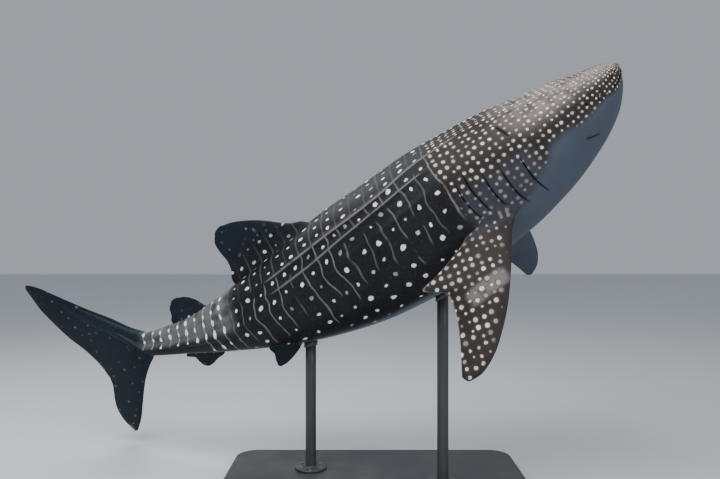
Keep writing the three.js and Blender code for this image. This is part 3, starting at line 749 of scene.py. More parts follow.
@dataclass(frozen=True)
class Crease:
    """A short fold of the hide on both sides, darkened with painted shade; its ends are (station, angle)."""

    start: Pair
    end: Pair
    depth: float = 0.009
    half_width: float = 0.009

    def distance(self, flat: BodyMap, station: Array, angle: Array) -> Array:
        """Distance of skin points from the fold, measured on the flattened skin.

        Args:
            flat: The map of the body.
            station: Stations.
            angle: Angles.

        Returns:
            The distances in metres.
        """
        length = flat.body.length
        start, end, places = (
            np.stack(together(at, flat.around(at, np.abs(turn)) * flat.girth(at)), axis=-1) * length
            for at, turn in (self.start, self.end, (station, angle))
        )
        along = np.clip((places - start) @ (end - start) / np.sum((end - start) ** 2), 0, 1)
        return np.linalg.norm(places - start - along[..., None] * (end - start), axis=-1)

    def lift(self, distance: Array) -> Array:
        """Height of the fold's form at distances from it, metres."""
        rim = np.exp(-(((distance - 2.1 * self.half_width) / self.half_width) ** 2))
        return self.depth * (0.22 * rim - np.exp(-((distance / self.half_width) ** 2)))

    def shade(self, distance: Array) -> Array:
        """How much painted shade the fold takes at distances from it, from 0 to 1."""
        return np.exp(-((distance / (0.8 * self.half_width)) ** 2))


@dataclass
class Nostril:
    """The nostrils at the front of the upper lip, each with its barbel."""

    mouth: Mouth
    right: float = 0.178
    above_mouth: float = 0.027
    radius: float = 0.009
    barbel_length: float = 0.02
    barbel_radius: float = 0.005
    barbel_droop: float = 0.012

    def centre(self, side: Side) -> Array:
        """Where the nostril opens.

        Args:
            side: The flank.

        Returns:
            A point of the snout's front.
        """
        body = self.mouth.body
        height = self.mouth.height(0.0) + self.above_mouth
        near, far = body.nose, self.mouth.corner
        for _ in range(20):
            middle = (near + far) / 2
            wide = body.half_width_at(middle, height) >= self.right
            near, far = (near, middle) if wide else (middle, far)
        return body.spine.place(far, side.value * self.right, height)

    def cutter(self, side: Side) -> BMesh:
        """The opening: a ball drawn out towards the mouth.

        Args:
            side: The flank.

        Returns:
            A closed mesh.
        """
        bm = bmesh.new()
        bmesh.ops.create_icosphere(bm, subdivisions=3, radius=self.radius)
        _, left, up = self.mouth.body.spine.directions(0.0)
        lean = Vector(left) * side.value * 0.5 - Vector(up)
        for vert in bm.verts:
            vert.co += lean * max(0.0, vert.co.dot(lean.normalized())) * 0.6
        bmesh.ops.translate(bm, verts=bm.verts, vec=Vector(self.centre(side)))
        return mask_opening_shade(bm)

    def barbel(self, side: Side) -> BMesh:
        """The short drooping barbel on the nostril's inner edge.

        Args:
            side: The flank.

        Returns:
            A closed mesh.
        """
        forward, left, up = self.mouth.body.spine.directions(0.0)
        inward = side.value * (self.radius + self.barbel_radius)
        root = self.centre(side) + left * inward - forward * self.barbel_radius
        part = np.linspace(0, 1, 12)[:, None, None]
        turn = np.linspace(0, 2 * math.pi, 14, endpoint=False)[None, :, None]
        radius = self.barbel_radius * np.sqrt(np.clip(1 - part**2.2, 0.004, 1)) * (1 - 0.45 * part)
        rings = root + forward * part * self.barbel_length + left * np.cos(turn) * radius
        return Swept(rings + up * (np.sin(turn) * radius - part**2 * self.barbel_droop)).bm


# The body's skin


@dataclass(frozen=True)
class Gill:
    """One gill slit: its station, and the angles of its ends."""

    station: float
    top: float
    bottom: float


@dataclass
class Gills:
    """The five slits of each side, with flaps that rise towards their free edge."""

    body: Body
    slits: tuple[Gill, ...] = (
        Gill(0.155, 84, 116), Gill(0.18, 82, 111), Gill(0.2, 78, 106), Gill(0.218, 67, 100),
        Gill(0.2325, 74, 97),
    )
    flap_rise: float = 0.0019
    fade_angle: float = 9.0
    end_angle: float = 3.0
    opening_angle: float = 16.0
    bow: float = 0.0035
    behind: float = 0.0024
    before: float = 0.0016
    spacing: float = 0.0028
    # Depth in metres at which the painted shade inside a slit is full
    full_shade_depth: float = 0.014

    # Rings of a slit from the flap's face round its edge, down under it and up the next flap: how
    # far they are behind the slit where it is shut and where it is open, how much of the flap's
    # rise they keep, and how deep they lie in metres
    edge_rings: tuple[tuple[float, float, float, float], ...] = (
        (-0.0016, -0.0016, 1.0, 0.0), (-0.0009, -0.0004, 1.0, 0.0003), (-0.0005, 0.0002, 0.75, 0.0015),
        (-0.0002, 0.0002, 0.4, 0.004), (0.0, -0.0006, 0.1, 0.0075), (0.0003, -0.0026, 0.0, 0.016),
        (0.0006, -0.0058, 0.0, 0.034), (0.0009, -0.0046, 0.0, 0.037), (0.0012, -0.0006, 0.0, 0.015),
        (0.0015, 0.0014, 0.0, 0.005), (0.0019, 0.0021, 0.0, 0.0015), (0.0024, 0.0027, 0.0, 0.0),
    )

    def window(self, gill: Gill, angle: Array, fade: float) -> Array:
        """1 along a slit, 0 past its ends."""
        side, top, bottom = np.abs(angle), gill.top, gill.bottom
        return ramp(side, top - fade, top + fade) * fall(side, bottom - fade, bottom + fade)

    def bowed(self, gill: Gill, angle: Array) -> Array:
        """How far a slit's middle bows to the rear, as a fraction of the length."""
        part = (np.abs(angle) - gill.top) / (gill.bottom - gill.top)
        return -self.bow * (4 * (part - 0.5) ** 2 - 0.5) * self.window(gill, angle, 3 * self.fade_angle)

    def flap(self, station: Array, angle: Array) -> Array:
        """Height of the flaps in front of their slits, metres.

        Args:
            station: Stations, all between two slits.
            angle: Angles.

        Returns:
            The heights.
        """
        lift = np.zeros(np.broadcast(station, angle).shape)
        previous = self.body.head_end
        for gill in self.slits:
            along = np.clip((station - previous) / (gill.station - previous), 0, 1)
            here = (station > previous) & (station <= gill.station)
            rise = self.flap_rise * along**2 * self.window(gill, angle, self.fade_angle)
            lift = np.where(here, rise * self.body.length, lift)
            previous = gill.station
        return lift

    def rings(self, angles: ColumnAngles) -> list[Ring]:
        """Rings of the gill region.

        Args:
            angles: The angles of a ring's columns.

        Returns:
            The rings, from the front to the rear.
        """
        rings = []
        previous = self.body.head_end
        for gill in self.slits:
            count = max(4, round((gill.station - previous) / self.spacing))
            start = previous + self.behind
            for part in np.linspace(0, 1, count, endpoint=False)[1:]:
                station = start + (gill.station - self.before - start) * part
                angle = angles.at(station)
                bend = self.bowed(gill, angle) * part
                rings.append((station + bend, angle, self.flap(np.full_like(angle, station), angle), 0.0))
            angle = angles.at(gill.station)
            is_open = self.window(gill, angle, self.end_angle)
            is_open *= ramp(np.abs(angle), gill.top, gill.top + self.opening_angle)
            edge = self.flap(np.full_like(angle, gill.station), angle)
            for shut, opened, keep, depth in self.edge_rings:
                station = gill.station + shut + (opened - shut) * is_open + self.bowed(gill, angle)
                height = edge * keep - depth * is_open
                rings.append((station, angle, height, min(1.0, depth / self.full_shade_depth)))
            previous = gill.station
        return rings


@dataclass
class ColumnAngles:
    """Angles of a ring's columns, with five on every ridge."""

    body: Body
    back_splits: int = 9
    ridge_splits: int = 4
    belly_splits: int = 32
    belly_crowding: float = 1.25
    gap_share: float = 0.44

    def half(self, station: float) -> list[float]:
        """Angles of the right side's columns, without the belly's.

        Args:
            station: Station of the ring.

        Returns:
            The angles from the back down.
        """
        width = float(self.body.ridge_half_angle(np.array(station)))
        back = self.body.back_ridge_half_angle
        angles = [0.0, back / 2, back]
        middles = [float(ridge.angle(station)) for ridge in self.body.ridges]
        for index, middle in enumerate(middles):
            above, below = (
                min(width, self.gap_share * abs(middle - middles[index + step]))
                if 0 <= index + step < len(middles) else width
                for step in (-1, 1)
            )
            last = angles[-1]
            splits = self.back_splits if index == 0 else self.ridge_splits
            angles += [last + (middle - above - last) * i / (splits + 1) for i in range(1, splits + 1)]
            angles += [middle - above, middle - above / 2, middle, middle + below / 2, middle + below]
        last = angles[-1]
        parts = [i / (self.belly_splits + 1) for i in range(1, self.belly_splits + 1)]
        return angles + [last + (180 - last) * part**self.belly_crowding for part in parts]

    def at(self, station: float) -> Array:
        """Angles of a whole ring, down the right side and up the left."""
        right = self.half(station)
        return np.array(right + [180.0] + [-angle for angle in right[:0:-1]])

    @property
    def belly_column(self) -> int:
        """Index of the belly's column."""
        return len(self.half(0.3))


@dataclass
class Zones:
    """Where the skin changes its colours and markings."""

    body: Body
    pale_edge: Profile = Profile(
        (-0.006, 100), (0.008, 108), (0.021, 106), (0.044, 97), (0.077, 96), (0.1, 91), (0.116, 91),
        (0.138, 99), (0.176, 110), (0.209, 114), (0.26, 122), (0.33, 138), (0.5, 143), (0.65, 140),
        (0.785, 146), (0.9, 150),
    )
    pale_width: Profile = Profile((0.0, 12), (0.12, 17), (0.24, 24), (0.35, 26), (0.7, 26))
    head_fade: Pair = (0.222, 0.262)
    tail_fade: Pair = (0.6, 0.64)
    line_weights: Pair = (1.0, 0.92)

    def zones(self, station: Array, angle: Array) -> Array:
        """Masks of the body's regions.

        Args:
            station: Stations.
            angle: Angles.

        Returns:
            Head, tail, pale underside and sunlit top, with a last axis of 4.
        """
        station, side = np.broadcast_arrays(station, np.abs(angle))
        head = fall(station, *self.head_fade)
        keel = self.body.ridges[-1].angle(station)
        # Below the stalk's keel the tail mask is halved, leaving that part plain dark without spots or
        # streaks: painted shade
        below = ramp(side, keel - 5, keel + 2) * ramp(station, 0.66, 0.69)
        tail = ramp(station, *self.tail_fade) * (1 - 0.5 * below)
        width, edge = self.pale_width(station), self.pale_edge(station)
        pale = ramp(side, edge - width / 2, edge + width / 2)
        top = fall(side, 42, 84) * fall(station, 0.1, 0.17)
        stalk = fall(side, 76, 92) * ramp(station, 0.595, 0.62) * fall(station, 0.775, 0.8)
        return np.stack([head, tail, pale, np.clip(top + stalk, 0, 1)], axis=-1)

    def marks(self, station: Array, angle: Array, inside: Array) -> Array:
        """Masks of the body's lines.

        Args:
            station: Stations.
            angle: Angles.
            inside: How far each point is inside a slit, which sets its painted shade.

        Returns:
            Ridge line, fin, gill flap and the painted shade inside, with a last axis of 4.
        """
        station, angle, inside = np.broadcast_arrays(station, angle, inside)
        half = self.body.ridge_half_angle(station)
        line = np.zeros(station.shape)
        for ridge, weight in zip(self.body.ridges, self.line_weights):
            reach = np.clip(1 - np.abs(np.abs(angle) - ridge.angle(station)) / half, 0, 1)
            fade = self.body.ridge_strength(ridge, station) * fall(station, 0.5, 0.6)
            line = np.maximum(line, reach * weight * fade)
        gill = ramp(station, 0.128, 0.15) * fall(station, 0.234, 0.25)
        gill = gill * ramp(np.abs(angle), 70, 92) * fall(np.abs(angle), 108, 122)
        return np.stack([line, ramp(station, 0.782, 0.8), gill, inside], axis=-1)


@dataclass
class BodySkin:
    """Builds the skin of the head, trunk and tail stalk."""

    body: Body
    gills: Gills
    mouth: Mouth
    seats: tuple[Seat, ...]
    creases: tuple[Crease, ...]
    zones: Zones
    rows: RowMap
    head_rings: int = 60
    head_crowding: float = 1.6
    trunk_spacing: float = 0.0048
    front: float = -0.0048
    front_bulge: float = 0.0007
    inset: float = 0.0013
    front_shrinks: tuple[float, ...] = (0.06, 0.2, 0.38, 0.55, 0.7, 0.82, 0.91, 0.97)
    first_gap: float = 0.7
    slit_depth: float = 0.0005
    seat_margin: float = 0.009

    # Reach of the finer mesh at the first level, and how much less it is at each next one
    seat_reach: Pair = (2.4, 0.5)
    mouth_reach: Pair = (0.04, 0.012)
    crease_reach: Pair = (0.034, 0.009)

    def __post_init__(self) -> None:
        """Sets the columns."""
        self.angles = ColumnAngles(self.body)

    def plain_ring(self, station: float) -> Ring:
        """A ring on the plain skin at one station."""
        angle = self.angles.at(station)
        return np.full_like(angle, station), angle, np.zeros_like(angle), 0.0

    def rings(self) -> tuple[Array, ...]:
        """All rings from the snout to the end of the tail's axis.

        Returns:
            Stations, angles, heights, inside masks of painted shade and shrinks, each as (ring, column).
        """
        part = np.linspace(0, 1, self.head_rings)
        head = self.front + (self.body.head_end - self.front) * part**self.head_crowding
        start = self.gills.slits[-1].station + self.gills.behind + self.trunk_spacing * self.first_gap
        count = round((self.body.tail_axis_end - start) / self.trunk_spacing)
        rings = [self.plain_ring(station) for station in [*(self.front for _ in self.front_shrinks), *head]]
        rings += self.gills.rings(self.angles)
        rings += [self.plain_ring(station) for station in np.linspace(start, self.body.tail_axis_end, count)]
        stations, angles, heights = (np.array([ring[k] for ring in rings]) for k in range(3))
        inside = np.array([np.full(stations.shape[1], ring[3]) for ring in rings])
        shrinks = np.ones(stations.shape)
        shrinks[: len(self.front_shrinks)] = np.array(self.front_shrinks)[:, None]
        return stations, angles, heights, np.where(heights < -self.slit_depth, inside, 0.0), shrinks

    def build(self) -> BMesh:
        """Builds the mesh with its maps and masks.

        Returns:
            A closed mesh.
        """
        stations, angles, heights, inside, shrinks = self.rings()
        swept = Swept(self.body.skin(stations, angles, heights))
        belly = self.angles.belly_column
        flat = self.rows.flat
        places = np.stack([flat.along(stations), flat.around(stations, angles)], axis=-1)
        swept.paint("Body", places, belly, places[:, belly] * (1, -1))
        rows = np.stack([self.rows.columns(stations), self.rows.rows(stations, angles)], axis=-1)
        swept.paint("Rows", rows)
        swept.paint("Zones", self.zones.zones(stations, angles))
        swept.paint("Marks", self.zones.marks(stations, angles, inside))
        self._keep_places(swept, stations, angles, heights, shrinks)
        self._refine(swept.bm)
        self._settle(swept.bm)
        return swept.bm

    def _keep_places(self, swept: Swept, *grids: Array) -> None:
        """Writes each vertex's station, angle, height and shrink into layers.

        Args:
            swept: The mesh.
            grids: Stations, angles, heights and shrinks, each as (ring, column).
        """
        layers = swept.bm.verts.layers.float
        self.layers = [layers.new(name) for name in ("station", "sine", "cosine", "height", "shrink")]
        stations, angles, heights, shrinks = grids
        turn = np.radians(angles)
        values = np.stack([stations, np.sin(turn), np.cos(turn), heights, shrinks], axis=-1)
        for vert in swept.bm.verts:
            for layer, value in zip(self.layers, values[vert[swept.ring_of], vert[swept.column_of]]):
                vert[layer] = value
            if vert[swept.column_of] < 0:
                vert[self.layers[-1]] = 0.0

    def _places(self, verts: list[BMVert]) -> tuple[Array, ...]:
        """Reads stations, angles, heights and shrinks of vertices."""
        values = np.array([[vert[layer] for layer in self.layers] for vert in verts])
        station, sine, cosine, height, shrink = values.T
        return station, np.degrees(np.arctan2(sine, cosine)), height, shrink

    def _refine(self, bm: BMesh) -> None:
        """Splits the edges round the eyes, the spiracles, the mouth and the folds.

        Args:
            bm: The skin's mesh.
        """
        for level in range(3):
            verts = list(bm.verts)
            stations, angles, _, _ = self._places(verts)
            near = np.zeros(len(verts), bool)
            at_seat, at_mouth, at_crease = (
                first - less * level for first, less in (self.seat_reach, self.mouth_reach, self.crease_reach)
            )
            for seat in self.seats:
                near |= seat.distance(stations, angles) < (seat.radius + self.seat_margin) * at_seat
            if level < 2:
                above = np.abs(self.mouth.above(stations, angles))
                near |= (above < at_mouth) & (stations < self.mouth.corner + 0.004)
            for crease in self.creases:
                near |= crease.distance(self.rows.flat, stations, angles) < at_crease
            chosen = {vert for vert, is_near in zip(verts, near) if is_near}
            edges = [edge for edge in bm.edges if edge.verts[0] in chosen and edge.verts[1] in chosen]
            bmesh.ops.subdivide_edges(bm, edges=edges, cuts=1, use_grid_fill=True)

    def _settle(self, bm: BMesh) -> None:
        """Places every vertex on the final form, with lips, rims and folds, and paints the folds' shade.

        Args:
            bm: The skin's mesh.
        """
        verts = list(bm.verts)
        stations, angles, heights, shrinks = self._places(verts)
        outward = heights - self.inset + self.mouth.lips(stations, angles)
        for seat in self.seats:
            distance = seat.distance(stations, angles)
            outward = outward + np.where(distance < seat.radius * 4, seat.lift(distance), 0)
        shade = np.zeros(len(verts))
        for crease in self.creases:
            distance = crease.distance(self.rows.flat, stations, angles)
            outward = outward + crease.lift(distance)
            shade = np.maximum(shade, crease.shade(distance))
        spine = self.body.spine
        middle = spine.place(stations, 0.0, self.body.axis_rise(stations) * spine.total_length)
        points = middle + (self.body.skin(stations, angles, outward) - middle) * shrinks[:, None]
        bulge = np.where(stations < 0, self.front_bulge, 0) * np.sqrt(np.clip(1 - shrinks**2, 0, 1))
        points = points + spine.directions(stations)[0] * (bulge * spine.total_length)[:, None]
        marks = bm.loops.layers.float_color["Marks"]
        for vert, point, dark in zip(verts, points, shade):
            vert.co = point
            if dark > 0.02:
                for loop in vert.link_loops:
                    loop[marks].w = max(loop[marks].w, dark)
        bmesh.ops.recalc_face_normals(bm, faces=bm.faces)


# Fins


@dataclass(frozen=True)
class FinShape:
    """A fin as leading and trailing edges; pairs are aft and outward."""

    front: tuple[Pair, ...]
    rear: tuple[Pair, ...]
    thickness: float
    bend: float = 0.0
    rings: int = 40
    chord_points: int = 18
    fillet: float = 0.024


@dataclass(frozen=True)
class FinPose:
    """Where a paired fin grows and how it is held: forward, outward and upward parts."""

    station: float
    angle: float
    span: tuple[float, float, float]
    chord: tuple[float, float, float]


@dataclass(frozen=True)
class FinDress:
    """How a fin is coloured: its zone masks, pale underside and trailing edge, and spots."""

    head: float = 0.0
    tail: float = 0.0
    under: float = 0.0
    rim: float = 0.0
    grown: Pair = (0.0, 0.05)
    cell: float = 1.0
    scar: Scar | None = None


@dataclass(frozen=True)
class FinGrid:
    """Places of a fin's points, each as (ring, column)."""

    points: Array
    stand: Array
    aft: Array
    out: Array
    off: Array
    chord: Array


CAUDAL_ROOT_FRONT = (0.77, -0.002)
CAUDAL_NOTCH = (0.8805, -0.05)


class Fins:
    """The outlines of all fins, as the solids have them."""

    FIRST_DORSAL = FinShape(
        ((0.425, 0.05), (0.447, 0.0965), (0.47, 0.106), (0.506, 0.128), (0.532, 0.139), (0.555, 0.145),
         (0.573, 0.1465)),
        ((0.588, 0.035), (0.6015, 0.0665), (0.595, 0.082), (0.594, 0.097), (0.598, 0.112), (0.599, 0.127),
         (0.591, 0.1395)),
        0.0065, rings=52, chord_points=20, fillet=0.03,
    )
    SECOND_DORSAL = FinShape(
        ((0.655, 0.02), (0.667, 0.047), (0.677, 0.058), (0.691, 0.0655), (0.706, 0.0672)),
        ((0.715, 0.005), (0.7325, 0.0315), (0.7285, 0.042), (0.727, 0.053), (0.7195, 0.0628)),
        0.003, fillet=0.016,
    )
    ANAL = FinShape(
        ((0.655, -0.01), (0.668, -0.037), (0.682, -0.043), (0.692, -0.049), (0.699, -0.0515)),
        ((0.7, -0.005), (0.731, -0.0285), (0.718, -0.033), (0.714, -0.041), (0.7095, -0.0485)),
        0.003, fillet=0.014,
    )
    CAUDAL_UPPER = FinShape(
        (CAUDAL_ROOT_FRONT, (0.79, 0.0225), (0.812, 0.0355), (0.837, 0.0525), (0.871, 0.072), (0.91, 0.0965),
         (0.952, 0.123), (0.9685, 0.1285)),
        (CAUDAL_NOTCH, (0.889, -0.025), (0.906, 0.003), (0.928, 0.03), (0.946, 0.059), (0.959, 0.083),
         (0.966, 0.104), (0.972, 0.1235)),
        0.0062, rings=60, chord_points=20, fillet=0.0,
    )
    CAUDAL_LOWER = FinShape(
        (CAUDAL_ROOT_FRONT, (0.787, -0.0225), (0.798, -0.0345), (0.815, -0.058), (0.835, -0.097),
         (0.851, -0.13), (0.866, -0.152)),
        (CAUDAL_NOTCH, (0.8805, -0.0635), (0.884, -0.078), (0.8875, -0.092), (0.889, -0.111), (0.883, -0.134),
         (0.871, -0.1545)),
        0.0055, rings=44, chord_points=20, fillet=0.0,
    )
    PECTORAL = FinShape(
        ((0.006, -0.035), (0, 0), (0.012, 0.02), (0.03, 0.062), (0.05, 0.102), (0.067, 0.128), (0.086, 0.151),
         (0.107, 0.166), (0.125, 0.1695)),
        ((0.05, -0.035), (0.066, 0.004), (0.112, 0.034), (0.139, 0.047), (0.113, 0.062), (0.1105, 0.084),
         (0.1135, 0.106), (0.12, 0.131), (0.131, 0.165)),
        0.0085, bend=0.0042, rings=72, chord_points=26, fillet=0.034,
    )
    PELVIC = FinShape(
        ((0.004, -0.02), (0.002, 0.002), (0.012, 0.016), (0.024, 0.027), (0.034, 0.032)),
        ((0.034, -0.02), (0.052, 0.005), (0.044, 0.014), (0.042, 0.022), (0.0385, 0.03)),
        0.0032, rings=30, fillet=0.014,
    )
    RIGHT_PECTORAL = FinPose(0.198, 113, (-0.207, 0.656, -0.726), (-0.965, -0.016, 0.26))
    LEFT_PECTORAL = FinPose(0.198, -113, (0.36, 0.52, -0.78), (-0.93, 0.2, -0.3))
    RIGHT_PELVIC = FinPose(0.533, 148, (-0.3, 0.5, -0.81), (-0.95, -0.05, 0.3))
    LEFT_PELVIC = FinPose(0.533, -148, (-0.3, 0.5, -0.81), (-0.95, -0.05, 0.3))


class FinPlane:
    """Puts a fin's own plane in space."""

    def __init__(self, body: Body, shape: FinShape, pose: FinPose | None = None) -> None:
        """Works out the fin's directions.

        Args:
            body: The body that carries it.
            shape: The fin's outline.
            pose: How a paired fin is held, or None for a fin of the middle plane.
        """
        self.body, self.shape, self.pose = body, shape, pose
        self.length = body.length
        if pose is None:
            return
        side = 1 if pose.angle > 0 else -1
        forward, left, up = body.spine.directions(pose.station)
        frame = np.stack([forward, -side * left, up])
        self.span = np.array(pose.span) @ frame
        self.span /= np.linalg.norm(self.span)
        self.chord = np.array(pose.chord) @ frame
        self.chord -= self.span * np.dot(self.chord, self.span)
        self.chord /= np.linalg.norm(self.chord)
        self.normal = side * np.cross(self.span, self.chord)
        self.root = body.skin(pose.station, pose.angle)
        self.upper = 1 if np.dot(self.normal, up - 0.4 * side * left) > 0 else -1

    def points(self, aft: Array, out: Array, half: Array) -> Array:
        """Points of the fin.

        Args:
            aft: Distances along the chord, or stations, as fractions of the length.
            out: Distances outward, or heights, as fractions of the length.
            half: Distances off the fin's plane, metres.

        Returns:
            The points, with a last axis of 3.
        """
        if self.pose is None:
            return self.body.spine.place(aft, half, out * self.length)
        curl = self.shape.bend * np.maximum(0, out / self.shape.front[-1][1]) ** 2
        sizes = aft * self.length, out * self.length, half + curl * self.length
        directions = self.chord, self.span, self.normal
        return self.root + sum(size[..., None] * way for size, way in zip(sizes, directions))


@dataclass
class FinSkin:
    """Builds one fin with a rounded edge and a root that flares into the body."""

    body: Body
    plane: FinPlane
    dress: FinDress
    rows: RowMap
    edge: float = 0.0014
    tip_rings: int = 6
    tip_bulge: float = 0.26
    last_strip: float = 0.985
    taper: float = 0.78
    flare: Pair = (0.62, 2.2)

    def blade(self, shape: FinShape, along: float) -> Strip:
        """Front and rear of the fin at a part of its span, and its half thickness there."""
        thick = shape.thickness * self.plane.length * (1 - self.taper * along)
        return EdgeCurve(shape.front)(along), EdgeCurve(shape.rear)(along), thick

    def strips(self, shape: FinShape) -> list[Strip]:
        """Strips from the root out, with the rounded tip.

        Args:
            shape: The outline.

        Returns:
            One strip for each ring.
        """
        strips = [self.blade(shape, along) for along in np.linspace(0, self.last_strip, shape.rings)]
        before, last = strips[-2], strips[-1]
        outward = (last[0] + last[1] - before[0] - before[1]) / 2
        outward /= np.linalg.norm(outward)
        chord = np.linalg.norm(last[1] - last[0])
        middle = (last[0] + last[1]) / 2
        for step in range(1, self.tip_rings + 1):
            turn = step / (self.tip_rings + 0.35) * math.pi / 2
            shift = outward * math.sin(turn) * chord * self.tip_bulge * 0.5
            shrink = math.cos(turn)
            front, rear = (middle + (end - middle) * shrink + shift for end in last[:2])
            strips.append((front, rear, last[2] * (0.35 + 0.65 * shrink)))
        return strips

    def all_strips(self) -> list[Strip]:
        """Strips of the whole fin."""
        return self.strips(self.plane.shape)

    def section(self, shape: FinShape, front: Array, rear: Array, thick: float) -> tuple[Array, ...]:
        """One closed ring of the fin.

        Args:
            shape: The outline.
            front: Leading edge of the strip.
            rear: Trailing edge of the strip.
            thick: Half thickness, metres.

        Returns:
            Aft, outward and off-plane places of the ring's points, and their part of the chord.
        """
        count = shape.chord_points
        part = (1 - np.cos(np.pi * np.arange(count + 1) / count)) / 2
        profile = thick * 2.22 * np.sqrt(part) * (1 - part) ** 0.85
        rounding = self.edge * np.sqrt(np.clip(1 - ((part - 0.5) * 2) ** 12, 0, 1))
        half = np.maximum(profile, rounding)
        aft, out = (front + (rear - front) * part[:, None]).T
        faces = ((aft, aft), (out, out), (half, -half), (part, part))
        return tuple(np.concatenate([upper, lower[-2:0:-1]]) for upper, lower in faces)

    def build(self) -> BMesh:
        """Builds the fin with its maps and masks.

        Returns:
            A closed mesh.
        """
        shape = self.plane.shape
        rings = [self.section(shape, *strip) for strip in self.all_strips()]
        aft, out, off, chord = (np.array([ring[k] for ring in rings]) for k in range(4))
        points = self.plane.points(aft, out, off)
        stand = self.stand(points)
        swept = Swept(points + self._flare(points, stand, chord, shape.fillet))
        self._paint(swept, FinGrid(points, stand, aft, out, off, chord))
        return swept.bm

    def stand(self, points: Array) -> Array:
        """How far the fin's points stand off the body, metres; negative inside."""
        return self.body.clearance(points)

    def _flare(self, points: Array, stand: Array, chord: Array, fillet: float) -> Array:
        """Moves the root's points outward so that the fin flows into the skin.

        Args:
            points: The fin's points.
            stand: How far each stands off the body, metres.
            chord: Their parts of the chord.
            fillet: Reach of the flare off the body, metres.

        Returns:
            How far each point is moved.
        """
        along = np.roll(points, -1, axis=1) - np.roll(points, 1, axis=1)
        span = np.gradient(points.mean(axis=1), axis=0)[:, None, :]
        normal = np.cross(along, span)
        normal = normal / np.maximum(np.linalg.norm(normal, axis=-1, keepdims=True), 1e-9)
        outward = points - points.mean(axis=1, keepdims=True)
        sign = np.sign(np.sum(np.sum(normal * outward, axis=-1), axis=-1))
        part = np.clip(1 - stand / max(fillet, 1e-6), 0, 1.35) * fall(chord, 0.55, 0.9)
        share, power = self.flare
        return normal * sign[:, None, None] * (fillet * share * part**power)[..., None]

    def _paint(self, swept: Swept, grid: FinGrid) -> None:
        """Writes the maps and masks.

        Args:
            swept: The fin's mesh.
            grid: The places of its points.
        """
        station, _, height = self.body.spine.locate(grid.points)
        length, dress = self.body.length, self.dress
        side = np.where(grid.off < 0, -1, 1)
        none = front = under = root = np.zeros(grid.stand.shape)
        if self.plane.pose is None:
            body = np.stack([station * length, side * (1.0 + np.abs(height))], axis=-1) / dress.cell
            start = self.rows.rows(station, none)
            rows = start - np.maximum(grid.stand, 0) / self.rows.back_row
            rows = np.stack([self.rows.columns(station), rows], axis=-1)
        else:
            body = np.stack([grid.aft + 3, side * (1.0 + np.abs(grid.out))], axis=-1) * length / dress.cell
            rows = np.zeros(body.shape)
            under = np.where(grid.off * self.plane.upper > 0, 0.0, 1.0)
            front = fall(grid.chord, 0.04, 0.16)
            if dress.head:
                root = 0.95 * fall(grid.stand, 0.0, 0.075)
        swept.paint("Body", body)
        swept.paint("Rows", rows)
        zones = [none + dress.head, none + np.maximum(dress.tail, front), dress.under * under, none]
        swept.paint("Zones", np.stack(zones, axis=-1))
        pale = np.maximum(dress.rim * ramp(grid.chord, 0.945, 0.992), self.pale_patch(grid))
        swept.paint("Marks", np.stack([pale, ramp(grid.stand, *dress.grown), root, none], axis=-1))

    def pale_patch(self, grid: FinGrid) -> Array:
        """A worn pale band across the fin, if it has one.

        Args:
            grid: The places of the fin's points.

        Returns:
            The band's mask.
        """
        if self.dress.scar is None:
            return np.zeros(grid.stand.shape)
        start, end, half = self.dress.scar
        direction = np.subtract(end, start)
        reach = np.linalg.norm(direction)
        direction = direction / reach
        aft, out = grid.aft - start[0], grid.out - start[1]
        along = (aft * direction[0] + out * direction[1]) / reach
        across = np.abs(out * direction[0] - aft * direction[1])
        ends = ramp(along, -0.25, 0.1) * fall(along, 0.85, 1.2)
        return ends * fall(across, half * 0.3, half * 1.3) * (grid.off * self.plane.upper > 0)


@dataclass
class TailFinSkin(FinSkin):
    """Builds the two lobes of the tail fin as one crescent."""

    lower: FinShape = Fins.CAUDAL_LOWER
    root_station: float = 0.79

    def all_strips(self) -> list[Strip]:
        """Joins the strips of both lobes.

        Returns:
            Strips from the upper tip over the shared root to the lower tip.
        """
        upper = self.strips(self.plane.shape)[::-1]
        lower = self.strips(self.lower)
        front, rear, thick = upper[-1]
        shared = (front, rear, (thick + lower[0][2]) / 2)
        return [*upper[:-1], shared, *lower[1:]]

    def stand(self, points: Array) -> Array:
        """How far the points are behind the fin's root, metres."""
        return (self.body.spine.locate(points)[0] - self.root_station) * self.body.length

    def pale_patch(self, grid: FinGrid) -> Array:
        """The mask of the lower tip's pale trailing edge."""
        return ramp(grid.chord, 0.45, 0.85) * fall(grid.out, -0.150, -0.128)


# Shading


class Wire:
    """A value that runs through a shader tree; arithmetic on it lays down Math nodes."""

    def __init__(self, nodes: Nodes, socket: bpy.types.NodeSocket) -> None:
        """Keeps the tree's nodes and the output that the value comes from."""
        self.nodes, self.socket = nodes, socket

    def __add__(self, other: object) -> Wire:
        """The sum of two values."""
        return self.nodes.math("ADD", self, other)

    def __sub__(self, other: object) -> Wire:
        """The difference of two values."""
        return self.nodes.math("SUBTRACT", self, other)

    def __mul__(self, other: object) -> Wire:
        """The product of two values."""
        return self.nodes.math("MULTIPLY", self, other)

    def __invert__(self) -> Wire:
        """What a mask leaves free: 1 less the mask, and never below 0."""
        return self.nodes.math("SUBTRACT", 1.0, self, clamp=True)

    def linear(self, slope: float, base: float) -> Wire:
        """The value times the slope, plus the base."""
        return self.nodes.math("MULTIPLY_ADD", self, slope, base)

    def larger(self, other: Wire) -> Wire:
        """The larger of two values."""
        return self.nodes.math("MAXIMUM", self, other)

    def below(self, limit: object) -> Wire:
        """1 where the value is under the limit, else 0."""
        return self.nodes.math("LESS_THAN", self, limit)

    def step(self, low: object, high: object) -> Wire:
        """A smooth step from 0 at low to 1 at high; low may be the larger."""
        inputs = {"Value": self, "From Min": low, "From Max": high, "To Min": 0.0, "To Max": 1.0}
        return self.nodes.add("MapRange", inputs, interpolation_type="SMOOTHSTEP")[0]


